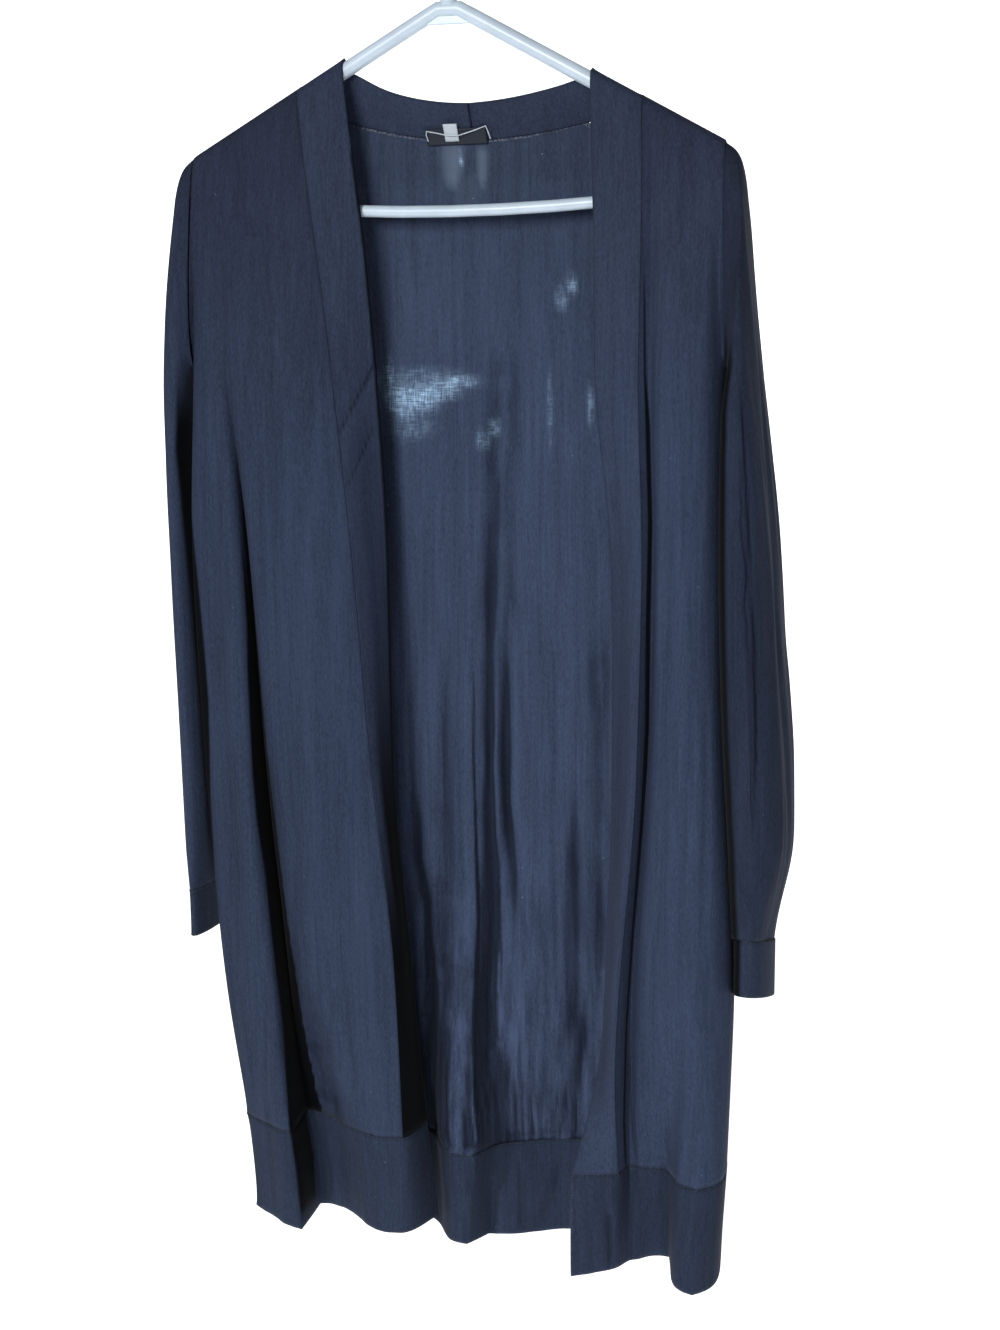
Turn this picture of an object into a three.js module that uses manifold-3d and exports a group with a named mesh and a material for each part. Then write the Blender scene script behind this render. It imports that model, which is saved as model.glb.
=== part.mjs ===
// Long open-front knit cardigan hanging on a tubular hanger.
// Millimetres, Z up, front towards -Y. Left is -X and right is +X, as seen from the front.
// The origin is the inner crown of the hook, where a rail touches it.
import * as THREE from "three";
import { mergeVertices } from "three/addons/utils/BufferGeometryUtils.js";
import Module from "manifold-3d";

// Hanger
const TUBE_RADIUS = 5.5;
const TUBE_SIDES = 10;
const LEFT_ARM_SLOPE = 0.537;
const RIGHT_ARM_SLOPE = 0.549;
const APEX_Z = -85;
const ARM_BEND_X = 196.6;
const END_RADIUS = 13.5;
const BAR_MIDDLE_Z = -229;
const HOOK_TUBE = 4.5;
const HOOK_INNER_RADIUS = 18;
const GUSSET_HALF_WIDTH = 27;
const GUSSET_THICKNESS = 4;

// Cloth
const SEAM_GAP = 0.3;
const NECK_GAP = 0.8;
const PANEL_WALL = 1.2;
const BAND_WALL = 2;
const HEM_WALL = 1.8;
const SLEEVE_WALL = 1.2;
const CUFF_WALL = 1.8;
const LABEL_WALL = 1;
const OVER_ARM = 7.2;
const OVER_ARM_RISE = 8.1;

// Armholes
const ARMHOLE_TOP_X = 200;
const ARMHOLE_LOW_X = 203.5;
const ARMPIT_Z = -345;
const ARMHOLE_HALF = 21;
const ARMHOLE_FULLNESS = 0.6;
const ARMHOLE_EGG = 0.45;

// Heights of the places where the folds are given
const HEIGHTS = {
  yoke: -240,
  chest: -345,
  waist: -480,
  hip: -640,
  thigh: -800,
  knee: -875,
  seam: -942,
  hem: -1020,
};
const SIDE_LEVELS = { seamZ: -940, hemZ: -1020 };
const LEFT_EDGE_LEVELS = { seamZ: -935, hemZ: -1016 };
const RIGHT_EDGE_LEVELS = { seamZ: -944, hemZ: -1023 };
const BACK_SEAM_SAG = 16;
const BACK_HEM_SAG = 13;

// Rows of each piece, from its top down
const WRAP_STEPS = 2;
const UPPER_ROWS = [0.25, 0.5, 0.72, 0.9, 1];
const LOWER_ROWS = 14;
const HEM_ROWS = 3;

// Side seams, shared by fronts and back
const LEFT_SIDE = {
  chest: [-203.5, 0],
  waist: [-204, 0],
  hip: [-202, 0],
  thigh: [-195, 0],
  knee: [-187, 0],
  seam: [-178, 0],
  hem: [-173, 0],
};
const RIGHT_SIDE = {
  chest: [203.5, 0],
  waist: [203, 0],
  hip: [207, 0],
  thigh: [214, 0],
  knee: [212, 0],
  seam: [210, 0],
  hem: [206, 0],
};

// Folds of the fronts from the free edge to the side seam, each as [x, y] by height.
// top is the place along the hanger's arm that the fold hangs from.
// steps is the number of columns up to the next fold.
const LEFT_FRONT = [
  {
    fold: "free edge", top: -79.5, steps: 4,
    yoke: [-65.5, -8], chest: [-60.5, -1], waist: [-54.8, 1], hip: [-54.6, 2],
    thigh: [-42.5, 0], knee: [-37, 1], seam: [-31.5, 2], hem: [-24, 3],
  },
  {
    fold: "band seam", top: -115, steps: 3,
    yoke: [-101, -15], chest: [-87, -22], waist: [-71.5, -30], hip: [-58.8, -34],
    thigh: [-42.7, -36], knee: [-40.5, -35], seam: [-39.3, -34], hem: [-40.9, -33],
  },
  {
    fold: "crown", top: -140, steps: 2,
    yoke: [-128, -16], chest: [-118, -25], waist: [-108, -33], hip: [-100, -37],
    thigh: [-88, -38], knee: [-80, -36], seam: [-72, -32], hem: [-70, -29],
  },
  {
    fold: "slope", top: -160, steps: 2,
    yoke: [-152, -17], chest: [-146, -26], waist: [-138, -32], hip: [-132, -31],
    thigh: [-120, -28], knee: [-112, -20], seam: [-100, -12], hem: [-88, -10],
  },
  {
    fold: "rise", top: -173, steps: 2,
    yoke: [-170, -17], chest: [-166, -25], waist: [-155, -27], hip: [-149, -21],
    thigh: [-139, -13], knee: [-133, -7], seam: [-124, -1], hem: [-112, 1],
  },
  {
    fold: "groove", top: -178, steps: 2,
    yoke: [-175, -17], chest: [-171, -22.5], waist: [-161.5, -13], hip: [-158, -5],
    thigh: [-149, 1], knee: [-143, 2], seam: [-134, 2], hem: [-125, -1],
  },
  {
    fold: "strip edge", top: -183, steps: 2,
    yoke: [-179.5, -17], chest: [-176, -25], waist: [-163.5, -31], hip: [-159, -34],
    thigh: [-144, -37], knee: [-138, -39], seam: [-130, -41], hem: [-123, -45],
  },
  {
    fold: "side strip", top: -191, steps: 2,
    yoke: [-189.5, -16], chest: [-191, -21], waist: [-189, -26], hip: [-185, -27],
    thigh: [-173, -29], knee: [-166, -29], seam: [-158, -28], hem: [-154, -27],
  },
  {
    fold: "outer", top: -197, steps: 2,
    yoke: [-198, -14.5], chest: [-203, -14], waist: [-211, -14], hip: [-207, -14],
    thigh: [-198, -15], knee: [-190, -15], seam: [-180, -14], hem: [-175, -13],
  },
  { fold: "side", top: -200, steps: 0, ...LEFT_SIDE },
];
const RIGHT_FRONT = [
  {
    fold: "free edge", top: 105, steps: 4,
    yoke: [108.7, -10], chest: [109.2, -10], waist: [121, -4], hip: [122, -4],
    thigh: [117, -4], knee: [115, -11], seam: [99, -42], hem: [100.5, -50],
  },
  {
    fold: "band seam", top: 142, steps: 2,
    yoke: [143.6, -14], chest: [142.7, -20], waist: [147.4, -26], hip: [144.8, -32],
    thigh: [133, -36], knee: [130, -38], seam: [133, -33], hem: [131, -30],
  },
  {
    fold: "groove", top: 150, steps: 2,
    yoke: [150, -9], chest: [149.5, -12], waist: [153, -13], hip: [149.5, -14],
    thigh: [139, -16], knee: [137, -16], seam: [138, -18], hem: [137, -18],
  },
  {
    fold: "rise", top: 157, steps: 2,
    yoke: [157, -14], chest: [157, -21], waist: [160, -24], hip: [157, -27],
    thigh: [147, -28], knee: [145, -25], seam: [145, -20], hem: [144, -14],
  },
  {
    fold: "crown", top: 168, steps: 2,
    yoke: [170, -17], chest: [172, -27], waist: [173, -31], hip: [173, -36],
    thigh: [166, -37], knee: [163, -32], seam: [157, -21], hem: [154, -5],
  },
  {
    fold: "recess", top: 177, steps: 2,
    yoke: [179, -17], chest: [182, -27], waist: [183, -31], hip: [184, -35],
    thigh: [180, -36], knee: [176, -31], seam: [168, -20], hem: [168, -5],
  },
  {
    fold: "lobe edge", top: 184, steps: 2,
    yoke: [185, -17], chest: [188, -26], waist: [189, -30], hip: [191, -35],
    thigh: [190, -38], knee: [187, -39], seam: [180, -40], hem: [177, -44],
  },
  {
    fold: "lobe", top: 190, steps: 2,
    yoke: [191, -16.5], chest: [194, -23], waist: [196, -26], hip: [200, -31],
    thigh: [202, -37], knee: [200, -43], seam: [196, -50], hem: [195, -58],
  },
  {
    fold: "outer", top: 195.5, steps: 2,
    yoke: [197, -15], chest: [200.5, -13], waist: [202, -15], hip: [208, -17],
    thigh: [215, -19], knee: [214, -26], seam: [212, -33], hem: [209, -38],
  },
  { fold: "side", top: 200, steps: 0, ...RIGHT_SIDE },
];

// Folds of the back from the left side seam to the right one.
// Those without top hang from the neck seam.
const BACK = [
  { fold: "left side", top: -200, steps: 2, ...LEFT_SIDE },
  {
    fold: "left wing", top: -188, steps: 2,
    chest: [-190, 20], waist: [-188, 21], hip: [-186, 23],
    thigh: [-179, 24], knee: [-173, 25], seam: [-164, 25], hem: [-159, 25],
  },
  {
    fold: "left plain", top: -150, steps: 2,
    chest: [-152, 25], waist: [-150, 27], hip: [-148, 29],
    thigh: [-145, 31], knee: [-142, 33], seam: [-138, 34], hem: [-134, 34],
  },
  {
    fold: "left neck corner", top: -115, steps: 2,
    chest: [-118, 26], waist: [-116, 30], hip: [-114, 33],
    thigh: [-110, 34], knee: [-108, 36], seam: [-104, 36], hem: [-100, 36],
  },
  {
    fold: "left soft fold", steps: 2,
    chest: [-88, 27], waist: [-84, 30], hip: [-82, 33],
    thigh: [-78, 35], knee: [-75, 36], seam: [-70, 36], hem: [-66, 36],
  },
  {
    fold: "dip", steps: 2,
    chest: [-52, 27], waist: [-50, 29], hip: [-49, 31],
    thigh: [-44, 31], knee: [-41, 29], seam: [-33, 26], hem: [-29, 24],
  },
  {
    fold: "lobe left", steps: 2,
    chest: [-20, 27], waist: [-20, 27], hip: [-18, 26],
    thigh: [-19, 19], knee: [-18, 9], seam: [-17, -3], hem: [-13, -3],
  },
  {
    fold: "lobe right", steps: 2,
    chest: [10, 27], waist: [6, 26], hip: [8, 23],
    thigh: [5, 14], knee: [5, 4], seam: [9, -8], hem: [3, -6],
  },
  {
    fold: "valley", steps: 2,
    chest: [32, 28], waist: [27, 30], hip: [27, 31],
    thigh: [20, 30], knee: [19, 26], seam: [22, 15], hem: [15, 15],
  },
  {
    fold: "right ridge", steps: 2,
    chest: [56, 27], waist: [52, 28], hip: [50, 28],
    thigh: [44, 26], knee: [43, 25], seam: [44, 26], hem: [38, 18],
  },
  {
    fold: "right soft fold", steps: 2,
    chest: [88, 27], waist: [86, 29], hip: [84, 31],
    thigh: [80, 32], knee: [78, 33], seam: [76, 35], hem: [72, 35],
  },
  {
    fold: "right neck corner", top: 142, steps: 2,
    chest: [124, 26], waist: [124, 28], hip: [126, 31],
    thigh: [126, 33], knee: [124, 34], seam: [122, 35], hem: [118, 36],
  },
  {
    fold: "right plain", top: 170, steps: 2,
    chest: [160, 25], waist: [160, 27], hip: [163, 30],
    thigh: [167, 32], knee: [166, 33], seam: [164, 34], hem: [160, 35],
  },
  {
    fold: "right wing", top: 190, steps: 2,
    chest: [190, 20], waist: [190, 21], hip: [194, 23],
    thigh: [200, 24], knee: [198, 25], seam: [196, 25], hem: [192, 26],
  },
  { fold: "right side", top: 200, steps: 0, ...RIGHT_SIDE },
];

// Neck band round the back neck, from one arm to the other.
// seam joins the back panel and edge is the upper, free edge.
const NECK = [
  { seam: [-104, 12.5, -153.5], edge: [-71, 7.5, -131.5] },
  { seam: [-90, 17, -160.5], edge: [-62, 8, -137] },
  { seam: [-68, 20, -167], edge: [-48, 8, -143.5] },
  { seam: [-44, 21.5, -172.5], edge: [-29, 8, -148.8] },
  { seam: [-17, 22, -176.5], edge: [-8, 8, -152.4] },
  { seam: [12, 22, -178], edge: [12, 8, -153.5] },
  { seam: [40, 22, -176.8], edge: [33, 8, -152.3] },
  { seam: [66, 21.5, -174], edge: [52, 8, -149.8] },
  { seam: [90, 20, -170], edge: [70, 8, -146.3] },
  { seam: [110, 17, -167], edge: [85, 8, -142.8] },
  { seam: [127, 12.5, -164], edge: [97, 7.5, -139.2] },
];
const NECK_STEPS = 16;
const BAND_COLUMNS = 4;

// Rings of the sleeves: upper point, lower point, half depth, egg shape and middle Y
const SLEEVE_SIDES = 20;
const LEFT_SLEEVE = [
  { top: [-201, -185.2], low: [-205, -342.5], half: 21, egg: 0.45, y: 0 },
  { top: [-209.5, -190], low: [-207, -344.5], half: 24, egg: 0.42, y: 0 },
  { top: [-214.5, -203], low: [-208.5, -350], half: 29, egg: 0.36, y: 2 },
  { top: [-219, -232], low: [-209, -359], half: 35, egg: 0.28, y: 6 },
  { top: [-226, -275], low: [-209, -371], half: 40, egg: 0.2, y: 12 },
  { top: [-231, -325], low: [-209.5, -387], half: 44, egg: 0.12, y: 18 },
  { top: [-233, -385], low: [-209.5, -412], half: 46, egg: 0.05, y: 23 },
  { top: [-233.5, -440], low: [-209, -446], half: 48, egg: 0, y: 26 },
  { top: [-233, -515], low: [-208.5, -515], half: 48, egg: 0, y: 26 },
  { top: [-231, -612], low: [-207, -612], half: 46, egg: 0, y: 24 },
  { top: [-229.5, -687], low: [-205.5, -687], half: 43, egg: 0, y: 20 },
  { top: [-228, -725], low: [-208, -725], half: 41, egg: 0, y: 17 },
  { top: [-224, -751], low: [-211, -751], half: 39, egg: 0, y: 15 },
];
const RIGHT_SLEEVE = [
  { top: [201, -187.5], low: [205, -342.5], half: 21, egg: 0.45, y: 0 },
  { top: [209, -193], low: [207, -344.5], half: 24, egg: 0.42, y: 0 },
  { top: [213.5, -207], low: [208.5, -350], half: 29, egg: 0.36, y: 0 },
  { top: [216.5, -240], low: [209, -359], half: 36, egg: 0.28, y: -1 },
  { top: [221, -290], low: [208, -371], half: 42, egg: 0.2, y: -3 },
  { top: [227, -340], low: [207, -387], half: 46, egg: 0.12, y: -4 },
  { top: [234, -400], low: [206.2, -415], half: 50, egg: 0.05, y: -3 },
  { top: [240.6, -470], low: [206, -476], half: 59, egg: 0, y: -1 },
  { top: [246.2, -541], low: [207.5, -541], half: 61, egg: 0, y: 0 },
  { top: [252.7, -607], low: [209.7, -607], half: 60, egg: 0, y: 1, tilt: 0.04 },
  { top: [255.8, -676], low: [213.6, -676], half: 56, egg: 0, y: 2, tilt: 0.1 },
  { top: [253, -724], low: [215.8, -724], half: 49, egg: 0, y: 2, tilt: 0.2 },
  { top: [247.5, -759.7], low: [217.8, -759.7], half: 41, egg: 0, y: 1, tilt: 0.28 },
];
const CUFFS = {
  left: { x: -217.5, y: 15, topZ: -751.3, lowZ: -789, half: 38.5, thin: 6.4, tilt: 0 },
  right: { x: 230.4, y: 1, topZ: -760, lowZ: -803, half: 38.5, thin: 12, tilt: 0.28 },
};

// Label and size tab, as rows from the sewn lower edge up
const LABEL_ROWS = [
  { y: 20.4, z: -180.5 },
  { y: 19.2, z: -177 },
  { y: 16.6, z: -172.5 },
  { y: 14.6, z: -170 },
];
const LABEL_HALF = 23;
const LABEL_X = -1;
const TAB_ROWS = [
  { y: 18.1, z: -178.4 },
  { y: 14.9, z: -173 },
  { y: 11.4, z: -166.8 },
];
const TAB_HALF = 5.2;
const TAB_X = -4;

const mix = (a, b, t) => a + (b - a) * t;
const vec = (p) => new THREE.Vector3(p[0], p[1], p[2]);
const armSlope = (x) => (x > 0 ? RIGHT_ARM_SLOPE : LEFT_ARM_SLOPE);
const armZ = (x) => APEX_Z - armSlope(x) * Math.abs(x);

// Smooth value between given ones, without overshoot
function steady(heights, values, z) {
  const last = heights.length - 1;
  if (z >= heights[0]) {
    return values[0];
  }
  if (z <= heights[last]) {
    return values[last];
  }
  const rises = heights.slice(1).map((h, i) => (values[i + 1] - values[i]) / (h - heights[i]));
  const slope = (i) => {
    const a = rises[i - 1];
    const b = rises[i];
    if (a === undefined || b === undefined || a * b <= 0) {
      return 0;
    }
    return (2 * a * b) / (a + b);
  };
  const i = heights.findIndex((h) => z > h) - 1;
  const span = heights[i + 1] - heights[i];
  const t = (z - heights[i]) / span;
  const curve = (1 + 2 * t) * (1 - t) ** 2 * values[i] + t * t * (3 - 2 * t) * values[i + 1];
  return curve + t * (1 - t) ** 2 * span * slope(i) - t * t * (1 - t) * span * slope(i + 1);
}

// Position of a fold at height z, hanging from start
function foldPoint(fold, start, z) {
  const names = Object.keys(HEIGHTS).filter((name) => fold[name]);
  const heights = [start[2], ...names.map((name) => HEIGHTS[name])];
  const xs = [start[0], ...names.map((name) => fold[name][0])];
  const ys = [start[1], ...names.map((name) => fold[name][1])];
  return [steady(heights, xs, z), steady(heights, ys, z), z];
}

// Half depth of an armhole or sleeve ring, part of the way from its upper to its lower point
function ringHalf(part, half, egg) {
  const across = Math.sqrt(Math.max(0, 1 - (1 - 2 * part) ** 2));
  const fullness = mix(1, ARMHOLE_FULLNESS, egg / ARMHOLE_EGG);
  return half * across ** fullness * (1 - egg * (1 - part));
}

// Point of the armhole seam, turned to the front or the back
function armholePoint(x, facing, z) {
  const topZ = armZ(ARMHOLE_TOP_X * Math.sign(x)) + OVER_ARM_RISE;
  const part = Math.min(1, (topZ - z) / (topZ - ARMPIT_Z));
  const across = mix(ARMHOLE_TOP_X, ARMHOLE_LOW_X, part) * Math.sign(x);
  const depth = Math.max(ringHalf(part, ARMHOLE_HALF, ARMHOLE_EGG), SEAM_GAP / 2);
  return [across, facing * depth, z];
}

// Cloth going over the arm: 0 is the top of the arm and 1 its side
function overArm(x, facing, part) {
  const angle = (part * Math.PI) / 2;
  const depth = Math.max(OVER_ARM * Math.sin(angle), SEAM_GAP / 2);
  return [x, facing * depth, armZ(x) + OVER_ARM_RISE * Math.cos(angle)];
}

const isSide = (fold) => fold.fold.endsWith("side");

// Points of one fold below the arm, down to the hem
function foldRows(fold, facing, from, seamZ, hemZ) {
  const rows = UPPER_ROWS.map((part) => {
    const z = mix(from[2], ARMPIT_Z, part);
    return isSide(fold) ? armholePoint(from[0], facing, z) : foldPoint(fold, from, z);
  });
  const levels = [];
  for (let i = 1; i <= LOWER_ROWS; i += 1) {
    levels.push(mix(ARMPIT_Z, seamZ, i / LOWER_ROWS));
  }
  for (let i = 1; i <= HEM_ROWS; i += 1) {
    levels.push(mix(seamZ, hemZ, i / HEM_ROWS));
  }
  for (const z of levels) {
    const p = foldPoint(fold, from, z);
    rows.push(isSide(fold) ? [p[0], (facing * SEAM_GAP) / 2, z] : p);
  }
  return rows;
}

// Place along the arm of every column
function columnTops(folds) {
  return folds.flatMap((fold, k) => {
    const next = folds[k + 1] ?? fold;
    const steps = Math.max(1, fold.steps);
    const at = (i) => (i === 0 ? fold.top : mix(fold.top, next.top, i / steps));
    return Array.from({ length: steps }, (_, i) => at(i));
  });
}

// Rows that go over the arm
function wrapRows(tops, facing) {
  return [0, 1, 2].map((i) => tops.map((x) => {
    const p = overArm(x, facing, i / WRAP_STEPS);
    const atArmhole = Math.abs(x) === ARMHOLE_TOP_X;
    return vec(atArmhole ? armholePoint(x, facing, p[2]) : p);
  }));
}

// One row of points across the folds
function acrossFolds(folds, points) {
  const curve = new THREE.CatmullRomCurve3(points.map(vec), false, "centripetal");
  const row = [];
  folds.forEach((fold, k) => {
    for (let i = 0; i < Math.max(1, fold.steps); i += 1) {
      row.push(curve.getPoint((k + i / Math.max(1, fold.steps)) / (folds.length - 1)));
    }
  });
  return row;
}

function frontGrid(folds, edgeLevels) {
  const columns = folds.map((fold, k) => {
    const across = k / (folds.length - 1);
    const seamZ = mix(edgeLevels.seamZ, SIDE_LEVELS.seamZ, across);
    const hemZ = mix(edgeLevels.hemZ, SIDE_LEVELS.hemZ, across);
    return foldRows(fold, -1, overArm(fold.top, -1, 1), seamZ, hemZ);
  });
  const hanging = columns[0].map((_, r) => acrossFolds(folds, columns.map((column) => column[r])));
  return [...wrapRows(columnTops(folds), -1), ...hanging];
}

// Both edges of the neck band behind the arms, from the left arm to the right one
function neckStations() {
  const atArm = (folds) => ({ seam: overArm(folds[1].top, 1, 1), edge: overArm(folds[0].top, 1, 1) });
  const named = [atArm(LEFT_FRONT), ...NECK, atArm(RIGHT_FRONT)];
  const curve = (key) => new THREE.CatmullRomCurve3(named.map((row) => vec(row[key])), false, "centripetal");
  const seam = curve("seam");
  const edge = curve("edge");
  return Array.from({ length: NECK_STEPS + 1 }, (_, i) => ({
    seam: seam.getPoint(i / NECK_STEPS),
    edge: edge.getPoint(i / NECK_STEPS),
  }));
}

const NECK_CORNER = BACK.findIndex((fold) => fold.fold === "left neck corner");
const FIRST_NECK_COLUMN = BACK.slice(0, NECK_CORNER).reduce((sum, fold) => sum + fold.steps, 0);

function backGrid(stations) {
  const columns = BACK.map((fold, k) => {
    const wave = Math.sin((Math.PI * k) / (BACK.length - 1));
    const seamZ = SIDE_LEVELS.seamZ - BACK_SEAM_SAG * wave;
    const hemZ = SIDE_LEVELS.hemZ - BACK_HEM_SAG * wave;
    const from = fold.top === undefined
      ? stations[2 * (k - NECK_CORNER)].seam.toArray()
      : overArm(fold.top, 1, 1);
    return foldRows(fold, 1, from, seamZ, hemZ);
  });
  const hanging = columns[0].map((_, r) => acrossFolds(BACK, columns.map((column) => column[r])));
  const rows = wrapRows(columnTops(BACK), 1);
  for (let s = 1; s < NECK_STEPS; s += 1) {
    for (const row of rows) {
      row[FIRST_NECK_COLUMN + s] = stations[s].seam.clone();
    }
  }
  return [...rows, ...hanging];
}

// Normals of a grid of points, closed round when asked
function gridNormals(grid, closed) {
  const rows = grid.length;
  const columns = grid[0].length;
  return grid.map((row, r) => row.map((_, c) => {
    const before = closed ? (c + columns - 1) % columns : Math.max(0, c - 1);
    const after = closed ? (c + 1) % columns : Math.min(columns - 1, c + 1);
    const down = grid[Math.min(rows - 1, r + 1)][c].clone().sub(grid[Math.max(0, r - 1)][c]);
    const along = grid[r][after].clone().sub(grid[r][before]);
    return down.cross(along).normalize();
  }));
}

// Takes one coordinate out of the normals of an edge, so that both sides of a seam are parallel
function squareEdge(normals, axis) {
  for (const normal of normals) {
    normal[axis] = 0;
    normal.normalize();
  }
}

function pullIn(edge, next, gap) {
  edge.forEach((point, i) => {
    const step = next[i].clone().sub(point).setLength(gap);
    point.add(step);
  });
}

const cutRows = (grid, from, to) => grid.slice(from, to + 1).map((row) => row.map((p) => p.clone()));
const cutColumns = (grid, from, to) => grid.map((row) => row.slice(from, to + 1).map((p) => p.clone()));
const columnOf = (grid, c) => grid.map((row) => row[c]);

// A wall of even thickness about a grid of middle points.
// closed joins the last column to the first, and leaveOut names cells that have no cloth.
function wall(grid, normals, thickness, { closed = false, leaveOut = () => false } = {}) {
  const rows = grid.length;
  const columns = grid[0].length;
  const cells = closed ? columns : columns - 1;
  const hasCloth = (r, c) => {
    const inside = r >= 0 && r < rows - 1 && (closed || (c >= 0 && c < cells));
    return inside && !leaveOut(r, (c + columns) % columns);
  };
  const positions = [];
  const index = [];
  const known = new Map();
  const corner = (r, c, side) => {
    const column = c % columns;
    const key = `${r},${column},${side}`;
    if (!known.has(key)) {
      known.set(key, known.size);
      const p = grid[r][column].clone().addScaledVector(normals[r][column], (side * thickness) / 2);
      positions.push(p.x, p.y, p.z);
    }
    return known.get(key);
  };
  const quad = (points) => {
    const [a, b, c, d] = points.map((point) => corner(...point));
    index.push(a, b, c, a, c, d);
  };
  const rim = (r, c, r2, c2) => quad([[r, c, -1], [r2, c2, -1], [r2, c2, 1], [r, c, 1]]);
  for (let r = 0; r < rows - 1; r += 1) {
    for (let c = 0; c < cells; c += 1) {
      if (!hasCloth(r, c)) {
        continue;
      }
      quad([[r, c, 1], [r + 1, c, 1], [r + 1, c + 1, 1], [r, c + 1, 1]]);
      quad([[r, c, -1], [r, c + 1, -1], [r + 1, c + 1, -1], [r + 1, c, -1]]);
      if (!hasCloth(r - 1, c)) {
        rim(r, c + 1, r, c);
      }
      if (!hasCloth(r + 1, c)) {
        rim(r + 1, c, r + 1, c + 1);
      }
      if (!hasCloth(r, c - 1)) {
        rim(r, c, r + 1, c);
      }
      if (!hasCloth(r, c + 1)) {
        rim(r + 1, c + 1, r, c + 1);
      }
    }
  }
  return outward(positions, index);
}

// Turns the faces outward where the grid ran the other way
function outward(positions, index) {
  let volume = 0;
  for (let i = 0; i < index.length; i += 3) {
    const [a, b, c] = [0, 1, 2].map((k) => new THREE.Vector3().fromArray(positions, 3 * index[i + k]));
    volume += a.dot(b.cross(c));
  }
  if (volume < 0) {
    for (let i = 0; i < index.length; i += 3) {
      [index[i], index[i + 1]] = [index[i + 1], index[i]];
    }
  }
  const geometry = new THREE.BufferGeometry();
  geometry.setAttribute("position", new THREE.Float32BufferAttribute(positions, 3));
  geometry.setIndex(index);
  return geometry;
}

const shared = SEAM_GAP / 2;

// The hem band under a front or the back, both given as whole grids
function hemPiece(grid, normals, sideColumns) {
  const seamRow = grid.length - 1 - HEM_ROWS;
  const hem = cutRows(grid, seamRow, grid.length - 1);
  const hemNormals = cutRows(normals, seamRow, grid.length - 1);
  pullIn(hem[0], hem[1], shared);
  squareEdge(hemNormals[0], "z");
  for (const c of sideColumns) {
    squareEdge(columnOf(hemNormals, c), "y");
  }
  return wall(hem, hemNormals, HEM_WALL);
}

// Squares a panel's armhole and side seam, and its lower edge
function finishPanel(panel, normals, sideColumns) {
  const last = panel.length - 1;
  const armholeEnd = WRAP_STEPS + UPPER_ROWS.length;
  for (const c of sideColumns) {
    const side = columnOf(panel, c);
    const next = columnOf(panel, c === 0 ? 1 : c - 1);
    squareEdge(columnOf(normals, c).slice(0, armholeEnd), "x");
    squareEdge(columnOf(normals, c).slice(armholeEnd), "y");
    pullIn(side.slice(0, armholeEnd), next.slice(0, armholeEnd), shared);
  }
  pullIn(panel[last], panel[last - 1], shared);
  squareEdge(normals[last], "z");
}

// Band behind the arm, from the centre back to the arm's side, and on over the arm
function bandBehind(folds, stations) {
  const tops = folds.slice(0, 2).map((fold) => fold.top);
  const overRow = (part) => ({ seam: vec(overArm(tops[1], 1, part)), edge: vec(overArm(tops[0], 1, part)) });
  return [...stations, overRow(0.5)].map(({ seam, edge }) => {
    const row = [];
    for (let c = 0; c <= BAND_COLUMNS; c += 1) {
      row.push(edge.clone().lerp(seam, c / BAND_COLUMNS));
    }
    return row;
  });
}

// The panel, band and hem of one front. stations run from the centre back to the arm.
function frontPieces(folds, edgeLevels, stations) {
  const grid = frontGrid(folds, edgeLevels);
  const normals = gridNormals(grid, false);
  const seamRow = grid.length - 1 - HEM_ROWS;
  const bandEnd = folds[0].steps;
  const sideColumn = grid[0].length - 1;

  const panel = cutColumns(cutRows(grid, 0, seamRow), bandEnd, sideColumn);
  const panelNormals = cutColumns(cutRows(normals, 0, seamRow), bandEnd, sideColumn);
  pullIn(columnOf(panel, 0), columnOf(panel, 1), shared);
  squareEdge(panelNormals[0], "y");
  finishPanel(panel, panelNormals, [sideColumn - bandEnd]);

  const behind = bandBehind(folds, stations);
  const front = cutColumns(cutRows(grid, 0, seamRow), 0, bandEnd);
  const band = [...behind, ...front];
  const armTop = behind.length;
  for (const point of band[armTop]) {
    point.y = 0;
  }
  const bandNormals = gridNormals(band, false);
  for (let r = 1; r <= seamRow; r += 1) {
    bandNormals[armTop + r] = normals[r].slice(0, bandEnd + 1).map((n) => n.clone());
  }
  squareEdge(bandNormals[0], "x");
  squareEdge(bandNormals[band.length - 1], "z");
  const seamNormals = columnOf(bandNormals, bandEnd);
  squareEdge(seamNormals.slice(0, armTop - 2), "z");
  squareEdge(seamNormals.slice(armTop - 2, armTop + WRAP_STEPS), "x");
  pullIn(columnOf(band, bandEnd), columnOf(band, bandEnd - 1), shared);
  pullIn(band[0], band[1], shared);
  pullIn(band[band.length - 1], band[band.length - 2], shared);
  return {
    panel: wall(panel, panelNormals, PANEL_WALL),
    hem: hemPiece(grid, normals, [sideColumn]),
    band: wall(band, bandNormals, BAND_WALL),
  };
}

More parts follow.
